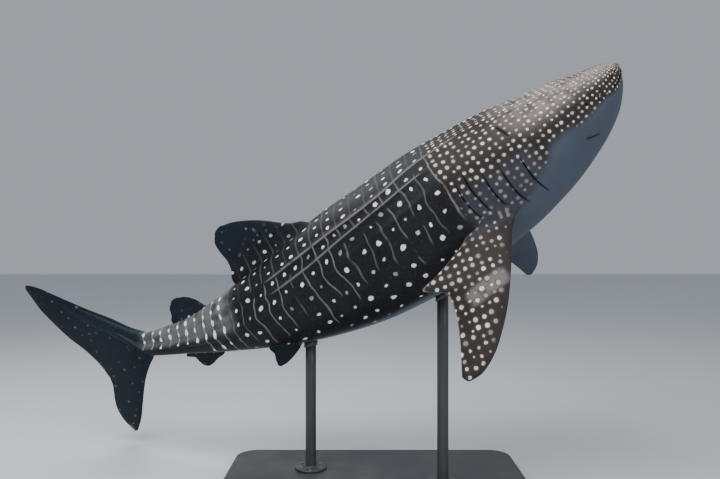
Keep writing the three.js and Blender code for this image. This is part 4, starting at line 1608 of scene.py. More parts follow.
class Made:
    """The outputs of one node, each as a wire."""

    def __init__(self, nodes: Nodes, node: bpy.types.Node) -> None:
        """Keeps the tree's nodes and the node."""
        self.nodes, self.node = nodes, node

    def __getitem__(self, key: int | str) -> Wire:
        """The output of that place or name."""
        return Wire(self.nodes, self.node.outputs[key])


class Nodes:
    """Lays down the nodes of one tree and joins them."""

    def __init__(self, tree: NodeTree) -> None:
        """Keeps the tree."""
        self.tree = tree

    def add(self, kind: str, inputs: dict | None = None, **settings: object) -> Made:
        """Adds a node.

        Args:
            kind: Blender's name of the node type, without the leading ShaderNode.
            inputs: Wires or values for its inputs, by name or index.
            settings: The node's own settings.

        Returns:
            The node's outputs.
        """
        node = self.tree.nodes.new("ShaderNode" + kind)
        for name, value in settings.items():
            setattr(node, name, value)
        for key, value in (inputs or {}).items():
            self.feed(node.inputs[key], value)
        return Made(self, node)

    def feed(self, socket: bpy.types.NodeSocket, value: object) -> None:
        """Links an input to a wire, or sets its value.

        Args:
            socket: The input.
            value: A wire, a number or a tuple.
        """
        if isinstance(value, Wire):
            self.tree.links.new(value.socket, socket)
        else:
            socket.default_value = value

    def group(self, tree: NodeTree, **inputs: object) -> Made:
        """Places a node group with its own values."""
        return self.add("Group", inputs, node_tree=tree)

    def math(self, operation: str, *values: object, clamp: bool = False) -> Wire:
        """The output of a Math node."""
        return self.add("Math", dict(enumerate(values)), operation=operation, use_clamp=clamp)[0]

    def vector(self, operation: str, *values: object) -> Wire:
        """The vector output of a Vector Math node."""
        return self.add("VectorMath", dict(enumerate(values)), operation=operation)[0]

    def scaled(self, vector: Wire, scale: object) -> Wire:
        """A vector times a number."""
        return self.add("VectorMath", {0: vector, "Scale": scale}, operation="SCALE")[0]

    def mix(self, factor: object, first: object, second: object) -> Wire:
        """A colour between two colours."""
        return self.add("Mix", {0: factor, 6: first, 7: second}, data_type="RGBA")[2]

    def blend(self, factor: object, first: object, second: object) -> Wire:
        """A number between two numbers."""
        return self.add("Mix", {0: factor, 2: first, 3: second}, data_type="FLOAT")[0]

    def masks(self, name: str) -> list[Wire]:
        """The four masks of a colour attribute."""
        attribute = self.add("Attribute", attribute_name=name, attribute_type="GEOMETRY")
        parts = self.add("SeparateColor", {0: attribute["Color"]})
        return [parts[0], parts[1], parts[2], attribute["Alpha"]]

    def noise(self, vector: Wire, scale: object, detail: float, roughness: float = 0.55) -> Wire:
        """The value of a Noise texture."""
        inputs = {"Vector": vector, "Scale": scale, "Detail": detail, "Roughness": roughness}
        return self.add("TexNoise", inputs)[0]

    def flat_noise(self, vector: Wire, scale: float) -> Made:
        """A Noise texture on a flat map."""
        return self.add("TexNoise", {"Vector": vector, "Scale": scale, "Detail": 1.0}, noise_dimensions="2D")

    def join(self, *parts: object) -> Wire:
        """A vector from two or three numbers."""
        return self.add("CombineXYZ", dict(enumerate(parts)))[0]


class Group(Nodes):
    """A shader node group while it is built."""

    def __init__(self, name: str, **inputs: float | None) -> None:
        """Starts the group.

        Args:
            name: Its name.
            inputs: Start value of each number that goes in, and None for a vector.
        """
        super().__init__(bpy.data.node_groups.new(name, "ShaderNodeTree"))
        for label, value in inputs.items():
            kind = "NodeSocketVector" if value is None else "NodeSocketFloat"
            socket = self.tree.interface.new_socket(label, in_out="INPUT", socket_type=kind)
            if value is not None:
                socket.default_value = value
        start = Made(self, self.tree.nodes.new("NodeGroupInput"))
        self.given = [start[label] for label in inputs]

    def give(self, **wires: Wire) -> NodeTree:
        """Ends the group.

        Args:
            wires: What it puts out, by name.

        Returns:
            The group.
        """
        for label, wire in wires.items():
            kind = "NodeSocketVector" if wire.socket.type == "VECTOR" else "NodeSocketFloat"
            self.tree.interface.new_socket(label, in_out="OUTPUT", socket_type=kind)
        end = self.tree.nodes.new("NodeGroupOutput")
        for label, wire in wires.items():
            self.feed(end.inputs[label], wire)
        return self.tree


def spots_group() -> NodeTree:
    """A field of round spots, one in each cell of a map.

    Returns:
        The group, with the spots' mask and a tone that changes from spot to spot.
    """
    group = Group("Spots", Map=None, Size=0.25, Spread=0.4, Share=1.0, Softness=0.06, Wobble=0.12, Vary=0.6)
    flat, size, spread, share, softness, wobble, vary = group.given
    away = group.vector("SUBTRACT", group.flat_noise(flat, 2.6)["Color"], (0.5, 0.5, 0.5))
    place = group.vector("ADD", flat, group.scaled(away, wobble))
    inputs = {"Vector": place, "Scale": 1.0, "Randomness": spread}
    cells = group.add("TexVoronoi", inputs, voronoi_dimensions="2D")
    draw = group.add("SeparateColor", {0: cells["Color"]})
    size = size * ((draw[0] - 0.5) * vary + 1.0)
    spot = cells["Distance"].step(size + softness, size - softness)
    return group.give(Mask=spot * draw[1].below(share), Tone=draw[2])


def row_spots_group() -> NodeTree:
    """One round spot in each cell of a grid, moved, sized and left out by chance.

    Returns:
        The group, with the spots' mask and a tone that changes from spot to spot.
    """
    group = Group(
        "Row spots", Map=None, Side=0.0, Shift=0.0, Size=0.15, Stretch=1.0, Stray=0.3, Share=0.9,
        Softness=0.03,
    )
    flat, side, shift, size, stretch, stray, share, softness = group.given
    wobble = group.flat_noise(flat, 7.0)[0].linear(0.09, -0.045)
    parts = group.add("SeparateXYZ", {0: flat})
    column, row = parts[0] + shift, parts[1]
    cell = group.join(group.math("FLOOR", column), group.math("FLOOR", row), side)
    draw = group.add("TexWhiteNoise", {"Vector": cell}, noise_dimensions="3D")
    drawn = group.add("SeparateColor", {0: draw["Color"]})
    across, down = (
        group.math("FRACT", at) - 0.5 - (drawn[k] - 0.5) * stray for k, at in enumerate((column, row))
    )
    away = group.join(across * stretch, down)
    distance = group.add("VectorMath", {0: away}, operation="LENGTH")["Value"] + wobble
    size = size * drawn[2].linear(0.75, 0.62)
    spot = distance.step(size + softness, size - softness)
    return group.give(Mask=spot * draw["Value"].below(share), Tone=group.math("FRACT", drawn[2] * 7.7))


def bars_group() -> NodeTree:
    """Thin wavy bars between the columns, each with its own ends and breaks.

    Returns:
        The group, with the bars' mask and the map bent as the bars are.
    """
    group = Group("Bars", Map=None, Side=0.0, Wave=1.0, Width=0.07, Top=2.9, Bottom=8.0, Breaks=1.0)
    flat, side, wave, width, top, bottom, breaks = group.given
    parts = group.add("SeparateXYZ", {0: flat})
    column, row = parts[0], parts[1]
    bent = column + (group.noise(group.join(column * 0.42, row * 0.5, side), 1.0, 1.5, 0.45) - 0.5) * wave
    nearest = group.math("ROUND", bent)
    draw = group.add("TexWhiteNoise", {"Vector": group.join(nearest, side)}, noise_dimensions="3D")
    drawn = group.add("SeparateColor", {0: draw["Color"]})
    low = bottom - drawn[0] * 2.4
    high = top + group.math("POWER", drawn[1], 3.0) * 1.6
    ends = row.step(low + 0.5, low) * row.step(high, high + 0.25)
    uneven = group.noise(group.join(nearest * 3.7, row * 2.3, side), 1.0, 2.0)
    thin = width * uneven.linear(1.2, 0.4)
    line = group.math("ABSOLUTE", bent - nearest).step(thin, thin * 0.3)
    gaps = group.noise(group.join(nearest * 5.1, row * 0.9, side), 1.0, 1.0)
    strength = group.blend(breaks, 1.0, gaps.step(0.33, 0.45)) * drawn[2].linear(0.6, 0.4)
    return group.give(Mask=line * ends * strength, Bent=group.join(bent, row))


def grain_group() -> NodeTree:
    """Fine grain and soft unevenness of a surface, on object coordinates.

    Returns:
        The group, with a fine value, a broad value and a height for bumps.
    """
    group = Group("Surface grain", Place=None, FineScale=900.0, BroadScale=6.0)
    place, fine_scale, broad_scale = group.given
    fine = group.noise(place, fine_scale, 2.0, 0.5)
    broad = group.noise(place, broad_scale, 5.0, 0.6)
    return group.give(Fine=fine, Broad=broad, Height=fine * 0.35 + broad)


class SharedGroups:
    """The node groups that the finishes place."""

    def __init__(self) -> None:
        """Builds each group once."""
        self.spots, self.row_spots = spots_group(), row_spots_group()
        self.bars, self.grain = bars_group(), grain_group()


class Coat(Nodes):
    """A material while it is built on a Principled shader."""

    def __init__(self, name: str) -> None:
        """Starts the material.

        Args:
            name: Its name.
        """
        self.material = bpy.data.materials.new(name)
        self.material.use_nodes = True
        super().__init__(self.material.node_tree)
        self.shader = self.tree.nodes["Principled BSDF"]

    @cached_property
    def place(self) -> Wire:
        """Object coordinates."""
        return self.add("TexCoord")["Object"]

    def bump(self, strength: float, distance: float, height: Wire, **normal: Wire) -> Wire:
        """A normal bent by a height, on top of another normal if one is given."""
        return self.add("Bump", {"Strength": strength, "Distance": distance, "Height": height, **normal})[0]

    def finish(self, inputs: dict[str, object]) -> Material:
        """Feeds the shader.

        Args:
            inputs: Wires and values by the shader's own names.

        Returns:
            The material.
        """
        for name, value in inputs.items():
            self.feed(self.shader.inputs[name], value)
        return self.material


def rgb(red: float, green: float, blue: float) -> tuple[float, float, float, float]:
    """An opaque colour."""
    return (red, green, blue, 1.0)


@dataclass(frozen=True)
class SkinFinish:
    """The spotted hide: dark above, pale below, with spots, bars and ridge lines."""

    flank: tuple = rgb(0.0068, 0.0078, 0.0112)
    head: tuple = rgb(0.020, 0.0150, 0.0130)
    fin: tuple = rgb(0.0035, 0.0088, 0.0165)
    tail: tuple = rgb(0.0050, 0.0085, 0.0140)
    sunlit_head: tuple = rgb(0.27, 0.225, 0.205)
    sunlit_stalk: tuple = rgb(0.15, 0.152, 0.150)
    stalk_line: tuple = rgb(0.40, 0.40, 0.38)
    # The underside's pale colours, darkened and tinted blue as painted shade
    shaded_throat: tuple = rgb(0.058, 0.072, 0.100)
    belly: tuple = rgb(0.105, 0.135, 0.170)
    spot: tuple = rgb(0.90, 0.90, 0.88)
    head_spot: tuple = rgb(0.80, 0.75, 0.68)
    faint_spot: tuple = rgb(0.12, 0.15, 0.16)
    line: tuple = rgb(0.185, 0.170, 0.165)
    halo: tuple = rgb(0.085, 0.066, 0.055)
    blotch: tuple = rgb(0.042, 0.040, 0.044)
    gill: tuple = rgb(0.036, 0.044, 0.062)
    # Painted shade inside the slits, mouth, nostrils and folds
    inside_shade: tuple = rgb(0.004, 0.004, 0.005)
    head_rows: float = 28.0
    fin_rows: float = 12.0
    specular: float = 0.22

    def build(self, groups: SharedGroups) -> Material:
        """Builds the material.

        Args:
            groups: The shared node groups.

        Returns:
            The material.
        """
        hide = HidePainter(self, groups)
        hide.ground()
        hide.lines()
        hide.spots()
        # Painted shade darkens the insides of the openings and the folds
        hide.lay(hide.inside, self.inside_shade)
        grain = hide.group(groups.grain, Place=hide.place, FineScale=420.0, BroadScale=26.0)
        fine = hide.bump(0.22, 0.002, grain["Height"])
        return hide.finish({
            "Base Color": hide.colour, "Roughness": hide.mottle.linear(0.2, 0.46),
            "Specular IOR Level": self.specular, "Normal": hide.bump(0.12, 0.003, hide.line, Normal=fine),
        })


class HidePainter(Coat):
    """Lays the hide's colours one over the other."""

    def __init__(self, finish: SkinFinish, groups: SharedGroups) -> None:
        """Reads the skin's maps and masks.

        Args:
            finish: The hide's colours.
            groups: The shared node groups.
        """
        super().__init__("spotted_hide")
        self.tints, self.groups = finish, groups
        self.head, self.tail, self.pale, self.sun = self.masks("Zones")
        self.ridge, self.fin, self.gill, self.inside = self.masks("Marks")
        self.body_map = self.add("UVMap", uv_map="Body")[0]
        self.row_map = self.add("UVMap", uv_map="Rows")[0]
        self.mottle = self.noise(self.place, 9.0, 6.0, 0.62)
        self.broad = self.noise(self.place, 2.3, 3.0, 0.5)
        self.in_head = self.head.step(0.4, 0.6)
        self.side = self.add("SeparateXYZ", {0: self.body_map})[1].below(0.0) * 17.3

    def lay(self, mask: Wire, colour: object) -> None:
        """Lays a colour over what is painted, where the mask is 1."""
        self.colour = self.mix(mask, self.colour, colour)

    def ground(self) -> None:
        """Paints the hide without its markings, with painted sunlight on top and painted shade below."""
        tints = self.tints
        self.colour = self.mix(self.head, tints.flank, tints.head)
        self.lay(self.tail * ~self.head, tints.tail)
        self.lay(self.fin * ~self.head, tints.fin)
        self.colour = self.scaled(self.colour, (self.mottle + self.broad).linear(1.5, -0.5))
        lit = self.sun * self.mottle.step(0.22, 0.58)
        self.lay(lit * 0.85, self.mix(self.head, tints.sunlit_stalk, tints.sunlit_head))
        self.lay(self.gill * 0.8, tints.gill)
        # Painted shade: the underside takes its pale colour darkened and blued
        under = self.scaled(self.mix(self.head, tints.belly, tints.shaded_throat), self.broad.linear(0.7, 0.65))
        edge = self.math("ADD", self.pale, (self.mottle - 0.5) * 0.35, clamp=True)
        self.lay(edge.step(0.1, 0.98), under)

    def lines(self) -> None:
        """Paints the flank's bars and blotches, the ridge lines and the streaks of the tail stalk."""
        cells = self.add("SeparateXYZ", {0: self.row_map})
        column, row = cells[0], cells[1]
        in_tail = (self.tail - self.head).step(0.2, 0.3)
        dark = ~self.pale.step(0.2, 0.8)
        self.flank = ~(self.in_head + in_tail) * dark * ~self.fin
        # Streaks and rows stay off the stalk below its keel, which is left plain dark as painted shade
        unkeeled = self.tail.step(0.62, 0.82).larger(self.tail.step(0.3, 0.2))
        self.stalk = in_tail * unkeeled * dark * ~self.fin
        self.bars = self.group(self.groups.bars, Map=self.row_map, Side=self.side)
        self.streaks = self.group(
            self.groups.bars, Map=self.row_map, Side=self.side, Wave=0.4, Width=0.075, Top=-9.0, Bottom=30.0,
            Breaks=0.4,
        )
        over_back = self.streaks["Mask"] * (row.below(2.9) * 0.4) * self.flank
        sharp = self.ridge.step(self.blend(self.fin, 0.66, 0.2), self.blend(self.fin, 0.86, 0.9))
        ridge_line = sharp * (self.mottle.step(0.22, 0.48) * 0.9)
        self.line = (self.bars["Mask"] * self.flank).larger(over_back).larger(ridge_line)
        strokes = self.noise(self.join(column * 9.0, row * 4.0, self.side), 1.0, 3.0, 0.6)
        self.lay(strokes.step(0.55, 0.7) * self.flank * 0.55, self.tints.blotch)
        self.lay(self.line * 0.85, self.tints.line)
        self.lay(self.streaks["Mask"] * self.stalk * 0.8, self.tints.stalk_line)

    def spots(self) -> None:
        """Paints the flank's large spots, the stalk's rows, the head's dense spots and the faint ones."""
        big = self.group(self.groups.row_spots, Map=self.bars["Bent"], Side=self.side, Size=0.108)
        self.lay(big["Mask"] * self.flank * big["Tone"].step(0.1, 0.35).linear(0.72, 0.28), self.tints.spot)
        rows = self.group(
            self.groups.row_spots, Map=self.streaks["Bent"], Side=self.side, Shift=0.5, Size=0.19,
            Stretch=1.6, Stray=0.16, Share=0.95,
        )
        self.lay(rows["Mask"] * self.stalk, self.tints.spot)
        head_map = self.scaled(self.body_map, self.tints.head_rows)
        vary = self.blend(self.fin, 0.45, 0.95)
        halo, dense = (
            self.group(self.groups.spots, Map=head_map, Size=size, Spread=0.36, Softness=softness, Vary=vary)
            for size, softness in ((0.31, 0.14), (0.19, 0.06))
        )
        clear = self.in_head * ~self.pale.step(0.2, 0.7) * ~self.tail
        self.lay(halo["Mask"] * clear * (~self.sun * 0.5), self.tints.halo)
        tone = self.blend(dense["Tone"], self.blend(self.fin, 0.4, 0.2), 1.0)
        self.lay(dense["Mask"] * clear * self.gill.linear(-0.72, 1.0) * tone, self.tints.head_spot)
        fin_map = self.scaled(self.body_map, self.tints.fin_rows)
        faint = self.group(self.groups.spots, Map=fin_map, Size=0.11, Spread=0.8, Share=0.55, Softness=0.04)
        self.lay(faint["Mask"] * faint["Tone"] * self.fin * ~self.head, self.tints.faint_spot)


@dataclass(frozen=True)
class EyeFinish:
    """A dark glossy eye with a grey-brown iris round a black pupil."""

    pupil: tuple = rgb(0.002, 0.002, 0.003)
    iris: tuple = rgb(0.045, 0.040, 0.034)
    white: tuple = rgb(0.010, 0.011, 0.013)
    pupil_edge: float = 0.13
    iris_edge: float = 0.27

    def build(self) -> Material:
        """Builds the material.

        Returns:
            The material.
        """
        coat = Coat("polished_eye")
        ball = coat.add("SeparateXYZ", {0: coat.add("UVMap", uv_map="Ball")[0]})
        out, turn = ball[0], ball[1]
        spokes = coat.noise(coat.join(turn * 40.0, out * 8.0), 1.0, 3.0)
        iris = coat.mix(spokes.step(0.3, 0.7), self.pupil, self.iris)
        colour = coat.mix(out.step(self.pupil_edge - 0.01, self.pupil_edge + 0.01), self.pupil, iris)
        colour = coat.mix(out.step(self.iris_edge - 0.02, self.iris_edge + 0.02), colour, self.white)
        return coat.finish({"Base Color": colour, "Roughness": spokes.linear(0.06, 0.10), "Coat Weight": 0.2})


@dataclass(frozen=True)
class PowderCoat:
    """Satin powder coat on steel, with orange peel and slight dust."""

    paint: tuple = rgb(0.035, 0.037, 0.040)
    dust: tuple = rgb(0.10, 0.10, 0.10)

    def build(self, groups: SharedGroups) -> Material:
        """Builds the material.

        Args:
            groups: The shared node groups.

        Returns:
            The material.
        """
        coat = Coat("powder_coat")
        grain = coat.group(groups.grain, Place=coat.place, FineScale=700.0, BroadScale=5.0)
        upward = coat.add("SeparateXYZ", {0: coat.add("NewGeometry")["Normal"]})[2]
        settled = upward.step(0.6, 1.0) * grain["Broad"].step(0.35, 0.75)
        return coat.finish({
            "Base Color": coat.mix(settled * 0.45, self.paint, self.dust),
            "Roughness": grain["Broad"].linear(0.25, 0.30), "Normal": coat.bump(0.15, 0.0008, grain["Fine"]),
        })


@dataclass(frozen=True)
class BoltSteel:
    """Bare steel of the bolts."""

    steel: tuple = rgb(0.42, 0.42, 0.41)
    dull: tuple = rgb(0.25, 0.25, 0.25)

    def build(self, groups: SharedGroups) -> Material:
        """Builds the material.

        Args:
            groups: The shared node groups.

        Returns:
            The material.
        """
        coat = Coat("bolt_steel")
        grain = coat.group(groups.grain, Place=coat.place, FineScale=1500.0, BroadScale=60.0)
        return coat.finish({
            "Base Color": coat.mix(grain["Broad"], self.dull, self.steel),
            "Roughness": grain["Fine"].linear(0.2, 0.25), "Metallic": 1.0,
        })


@dataclass(frozen=True)
class FloorFinish:
    """The pale floor, a little uneven in tone."""

    shade: tuple = rgb(0.62, 0.64, 0.66)
    light: tuple = rgb(0.68, 0.70, 0.72)

    def build(self) -> Material:
        """Builds the material.

        Returns:
            The material.
        """
        coat = Coat("pale_floor")
        colour = coat.mix(coat.noise(coat.place, 0.6, 4.0), self.shade, self.light)
        return coat.finish({"Base Color": colour, "Roughness": 0.75})


# Sub-assemblies


def adopt(obj: Object, material: Material, slot: Slot, *replaced: str) -> None:
    """Dresses a piece and ties it to the frame.

    Args:
        obj: The piece.
        material: Its material.
        slot: The record's slot; not used.
        replaced: The solids that it stands for.
    """
    obj.data.materials.clear()
    obj.data.materials.append(material)
    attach(obj, "root")
    if replaced:
        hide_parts(*replaced)


@dataclass
class Shark:
    """The animal: its skin in one piece, and its eyes."""

    body: Body
    eye_station: float = 0.044
    eye_angle: float = 93.0
    eye_radius: float = 0.019
    eye_sink: float = 0.009
    eye_rim: Pair = (0.0045, 0.0055)
    cornea: float = 0.0012
    spiracle: tuple[float, ...] = (0.061, 88.0, 0.01, 0.0015, 0.003)
    seat_depth: float = 0.012
    scar: Scar = ((0.041, 0.069), (0.09, 0.084), 0.013)
    creases: tuple[Crease, ...] = (
        Crease((0.0716, 121.8), (0.0842, 113.2)), Crease((0.1514, 44.2), (0.1475, 59.5)),
    )
    flesh: tuple[str, ...] = (
        "head", "gill_region", "trunk_front", "trunk_rear", "tail_stalk", "caudal_fin_upper",
        "caudal_fin_lower", "first_dorsal_fin", "second_dorsal_fin", "anal_fin", "pectoral_fin_right",
        "pectoral_fin_left", "pelvic_fin_right", "pelvic_fin_left",
    )

    def seats(self) -> tuple[Seat, ...]:
        """Seats of the eyes and the spiracles.

        Returns:
            Both seats of each side.
        """
        places = (self.eye_station, self.eye_angle, self.eye_radius, *self.eye_rim), self.spiracle
        return tuple(
            Seat(self.body, station, side.value * angle, radius, self.seat_depth, height, width)
            for side in Side for station, angle, radius, height, width in places
        )

    def skin(self) -> Object:
        """Builds the whole skin.

        Returns:
            The skin as one object.
        """
        gills, mouth, rows = Gills(self.body), Mouth(self.body), RowMap(BodyMap(self.body))
        nostril = Nostril(mouth)
        parts = BodySkin(self.body, gills, mouth, self.seats(), self.creases, Zones(self.body), rows)
        skin = finish_mesh(parts.build(), "shark_skin")
        LOG.info("body skin: %d faces", len(skin.data.polygons))
        combine(skin, [mouth.cutter(), *(nostril.cutter(side) for side in Side)], "DIFFERENCE")
        LOG.info("mouth and nostrils cut: %d faces", len(skin.data.polygons))
        barbels = [nostril.barbel(side) for side in Side]
        combine(skin, [fin.build() for fin in self.fins(rows)] + barbels, "UNION")
        for polygon in skin.data.polygons:
            polygon.use_smooth = True
        LOG.info("whole skin: %d faces", len(skin.data.polygons))
        return skin

    def fins(self, rows: RowMap) -> list[FinSkin]:
        """All fins, ready to build.

        Args:
            rows: The map of the markings' cells.

        Returns:
            One builder for each fin.
        """
        wide, narrow = (-0.04, 0.26), (-0.01, 0.02)
        right = FinDress(head=1.0, under=0.8, rim=0.9, cell=1.58, scar=self.scar)
        left = FinDress(head=1.0, under=0.75, rim=0.8, cell=1.58)
        kinds = [
            (FinSkin, Fins.FIRST_DORSAL, None, FinDress(grown=wide)),
            (FinSkin, Fins.SECOND_DORSAL, None, FinDress(grown=narrow)),
            (FinSkin, Fins.ANAL, None, FinDress(grown=narrow)),
            (FinSkin, Fins.PECTORAL, Fins.RIGHT_PECTORAL, right),
            (FinSkin, Fins.PECTORAL, Fins.LEFT_PECTORAL, left),
            (FinSkin, Fins.PELVIC, Fins.RIGHT_PELVIC, FinDress(grown=narrow, under=0.5)),
            (FinSkin, Fins.PELVIC, Fins.LEFT_PELVIC, FinDress(grown=narrow, under=0.5)),
            (TailFinSkin, Fins.CAUDAL_UPPER, None, FinDress(tail=1.0, grown=(-0.05, 0.01))),
        ]
        return [
            kind(self.body, FinPlane(self.body, shape, pose), dress, rows)
            for kind, shape, pose, dress in kinds
        ]

    def eye(self, side: Side) -> Object:
        """Builds one eyeball with a raised cornea.

        Args:
            side: The flank.

        Returns:
            The eye as an object.
        """
        angle = side.value * self.eye_angle
        centre = Vector(self.body.skin(self.eye_station, angle, -self.eye_sink))
        outward = (Vector(self.body.skin(self.eye_station, angle, 0.01)) - centre).normalized()
        bm = bmesh.new()
        bmesh.ops.create_uvsphere(bm, u_segments=48, v_segments=32, radius=self.eye_radius)
        layer = bm.loops.layers.uv.new("Ball")
        for face in bm.faces:
            for loop in face.loops:
                co = loop.vert.co
                polar = math.acos(max(-1.0, min(1.0, co.z / self.eye_radius))) / math.pi
                loop[layer].uv = (polar, math.atan2(co.y, co.x) / (2 * math.pi))
        for vert in bm.verts:
            reach = vert.co.z / self.eye_radius
            vert.co.z += self.cornea * float(ramp(reach, 0.8, 1.0))
        turn = Vector((0, 0, 1)).rotation_difference(outward).to_matrix()
        bmesh.ops.rotate(bm, verts=bm.verts, cent=Vector(), matrix=turn)
        bmesh.ops.translate(bm, verts=bm.verts, vec=centre)
        return finish_mesh(bm, f"shark_eye_{side.name.lower()}")

    def build(self, groups: SharedGroups) -> Object:
        """Builds and dresses the animal.

        Args:
            groups: The shared node groups.

        Returns:
            The skin.
        """
        skin = self.skin()
        adopt(skin, SkinFinish().build(groups), Slot.BACK, *self.flesh)
        polished = EyeFinish().build()
        for side in Side:
            adopt(self.eye(side), polished, Slot.EYE, f"eye_{side.name.lower()}")
        LOG.info("eyes set")
        return skin


def rise(edge: BMEdge) -> float:
    """How much higher one end of an edge is than the other."""
    return abs(edge.verts[0].co.z - edge.verts[1].co.z)


def edges_above(edges: Iterable[BMEdge], height: float) -> list[BMEdge]:
    """The edges that lie at a height or over it."""
    return [edge for edge in edges if min(vert.co.z for vert in edge.verts) > height - NEAR]


def bevel(bm: BMesh, edges: list[BMEdge], offset: float, segments: int) -> None:
    """Rounds edges of a mesh."""
    bmesh.ops.bevel(
        bm, geom=edges, offset=offset, affect="EDGES", segments=segments, profile=0.5, material=-1,
    )


def disc(bm: BMesh, middle: Vector, radius: float, height: float, sides: int) -> list[BMVert]:
    """Adds an upright prism and hands back its vertices.

    Args:
        bm: The mesh.
        middle: Centre of the prism.
        radius: Radius of its corners.
        height: Height.
        sides: Number of sides.

    Returns:
        The new vertices.
    """
    return bmesh.ops.create_cone(
        bm, cap_ends=True, cap_tris=False, segments=sides, radius1=radius, radius2=radius, depth=height,
        matrix=Matrix.Translation(middle),
    )["verts"]


@dataclass
class Stand:
    """The display stand: a base plate, and two rods on bolted feet."""

    base_corner: float = 0.16
    base_bevel: float = 0.008
    foot_bevel: float = 0.007
    rod_radius: float = 0.042
    weld: float = 0.012
    collar_height: float = 0.045
    collar_wall: float = 0.012
    collar_gap: float = 0.0003
    collar_lap: float = 0.003
    bolt_circle: float = 0.72
    bolts: int = 6
    bolt_radius: float = 0.011
    bolt_height: float = 0.009
    bolt_bevel: float = 0.0008
    washer: Pair = (1.35, 0.002)

    def base(self) -> Object:
        """Builds the plate with round corners and softened edges.

        Returns:
            The plate as an object.
        """
        low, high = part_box("stand_base")
        size = high - low
        bm = bmesh.new()
        place = Matrix.Translation((low + high) / 2) @ Matrix.Diagonal((*size, 1))
        bmesh.ops.create_cube(bm, size=1.0, matrix=place)
        bevel(bm, [edge for edge in bm.edges if rise(edge) > size.z / 2], self.base_corner, 16)
        level = [
            edge for edge in bm.edges
            if rise(edge) < NEAR and len(edge.link_faces) == 2
            and any(len(face.verts) > 4 for face in edge.link_faces)
        ]
        bevel(bm, level, self.base_bevel, 4)
        return finish_mesh(bm, "base_plate", smooth=False)

    def foot(self, name: str) -> Object:
        """Builds a round foot plate with a softened rim.

        Args:
            name: The foot's solid.

        Returns:
            The foot as an object.
        """
        low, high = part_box(name)
        bm = bmesh.new()
        disc(bm, (low + high) / 2, (high.x - low.x) / 2, high.z - low.z, 96)
        bevel(bm, edges_above(bm.edges, high.z), self.foot_bevel, 4)
        return finish_mesh(bm, name.replace("stand_", "") + "_plate")

    def build(self, groups: SharedGroups, skin: Object) -> None:
        """Builds and dresses the stand.

        Args:
            groups: The shared node groups.
            skin: The animal's skin, which the rods meet.
        """
        paint = PowderCoat().build(groups)
        steel = BoltSteel().build(groups)
        adopt(self.base(), paint, Slot.STAND, "stand_base")
        shape = bmesh.new()
        shape.from_mesh(skin.data)
        tree = BVHTree.FromBMesh(shape)
        shape.free()
        for end in ("front", "rear"):
            adopt(self.foot(f"stand_foot_{end}"), paint, Slot.STAND, f"stand_foot_{end}")
            adopt(self.rod(end), paint, Slot.STAND, f"stand_rod_{end}")
            adopt(self.collar(end, tree), paint, Slot.STAND)
            adopt(self.foot_bolts(end), steel, Slot.STAND)
        LOG.info("stand built")

    def rod(self, end: str) -> Object:
        """Builds a rod with a weld fillet at its foot.

        Args:
            end: front or rear.

        Returns:
            The rod as an object.
        """
        low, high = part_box(f"stand_rod_{end}")
        centre = (low + high) / 2
        outline = [(0.0, low.z)]
        outline += [
            (self.rod_radius + self.weld * (1 - math.sin(turn)), low.z + self.weld * (1 - math.cos(turn)))
            for turn in np.linspace(0, math.pi / 2, 7)
        ]
        outline += [(self.rod_radius, low.z + (high.z - low.z) * part) for part in (0.2, 0.4, 0.6, 0.8, 1.0)]
        outline += [(0.0, high.z)]
        bm = bmesh.new()
        verts = [bm.verts.new((centre.x + radius, centre.y, height)) for radius, height in outline]
        edges = [bm.edges.new(pair) for pair in zip(verts[:-1], verts[1:])]
        bmesh.ops.spin(
            bm, geom=verts + edges, cent=(centre.x, centre.y, 0), axis=(0, 0, 1), angle=2 * math.pi, steps=96,
            use_merge=True,
        )
        bmesh.ops.remove_doubles(bm, verts=bm.verts, dist=NEAR)
        bmesh.ops.recalc_face_normals(bm, faces=bm.faces)
        return finish_mesh(bm, f"rod_{end}")

    def collar(self, end: str, tree: BVHTree) -> Object:
        """Builds the collar that ends a rod at the belly, with its rim laid on the skin.

        Args:
            end: front or rear.
            tree: The skin, to find the belly above the rod.

        Returns:
            The collar as an object.
        """
        low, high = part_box(f"stand_rod_{end}")
        centre = (low + high) / 2
        inner, outer = self.rod_radius + self.collar_gap, self.rod_radius + self.collar_wall
        rings = []
        for radius, drop in ((inner, 0.0), (inner, 1.0), (outer - 0.003, 1.0), (outer, 0.93), (outer, 0.0)):
            ring = []
            for turn in np.linspace(0, 2 * math.pi, 96, endpoint=False):
                x, y = centre.x + radius * math.cos(turn), centre.y + radius * math.sin(turn)
                hit = tree.ray_cast(Vector((x, y, low.z)), Vector((0, 0, 1)))[0]
                belly = hit.z if hit else high.z
                ring.append((x, y, belly + self.collar_lap - drop * self.collar_height))
            rings.append(ring)
        bm = Swept(np.array(rings)).bm
        ends = [face for face in bm.faces if len(face.verts) > 4]
        bmesh.ops.delete(bm, geom=ends, context="FACES_ONLY")
        bmesh.ops.bridge_loops(bm, edges=[edge for edge in bm.edges if edge.is_boundary])
        bmesh.ops.recalc_face_normals(bm, faces=bm.faces)
        return finish_mesh(bm, f"collar_{end}")

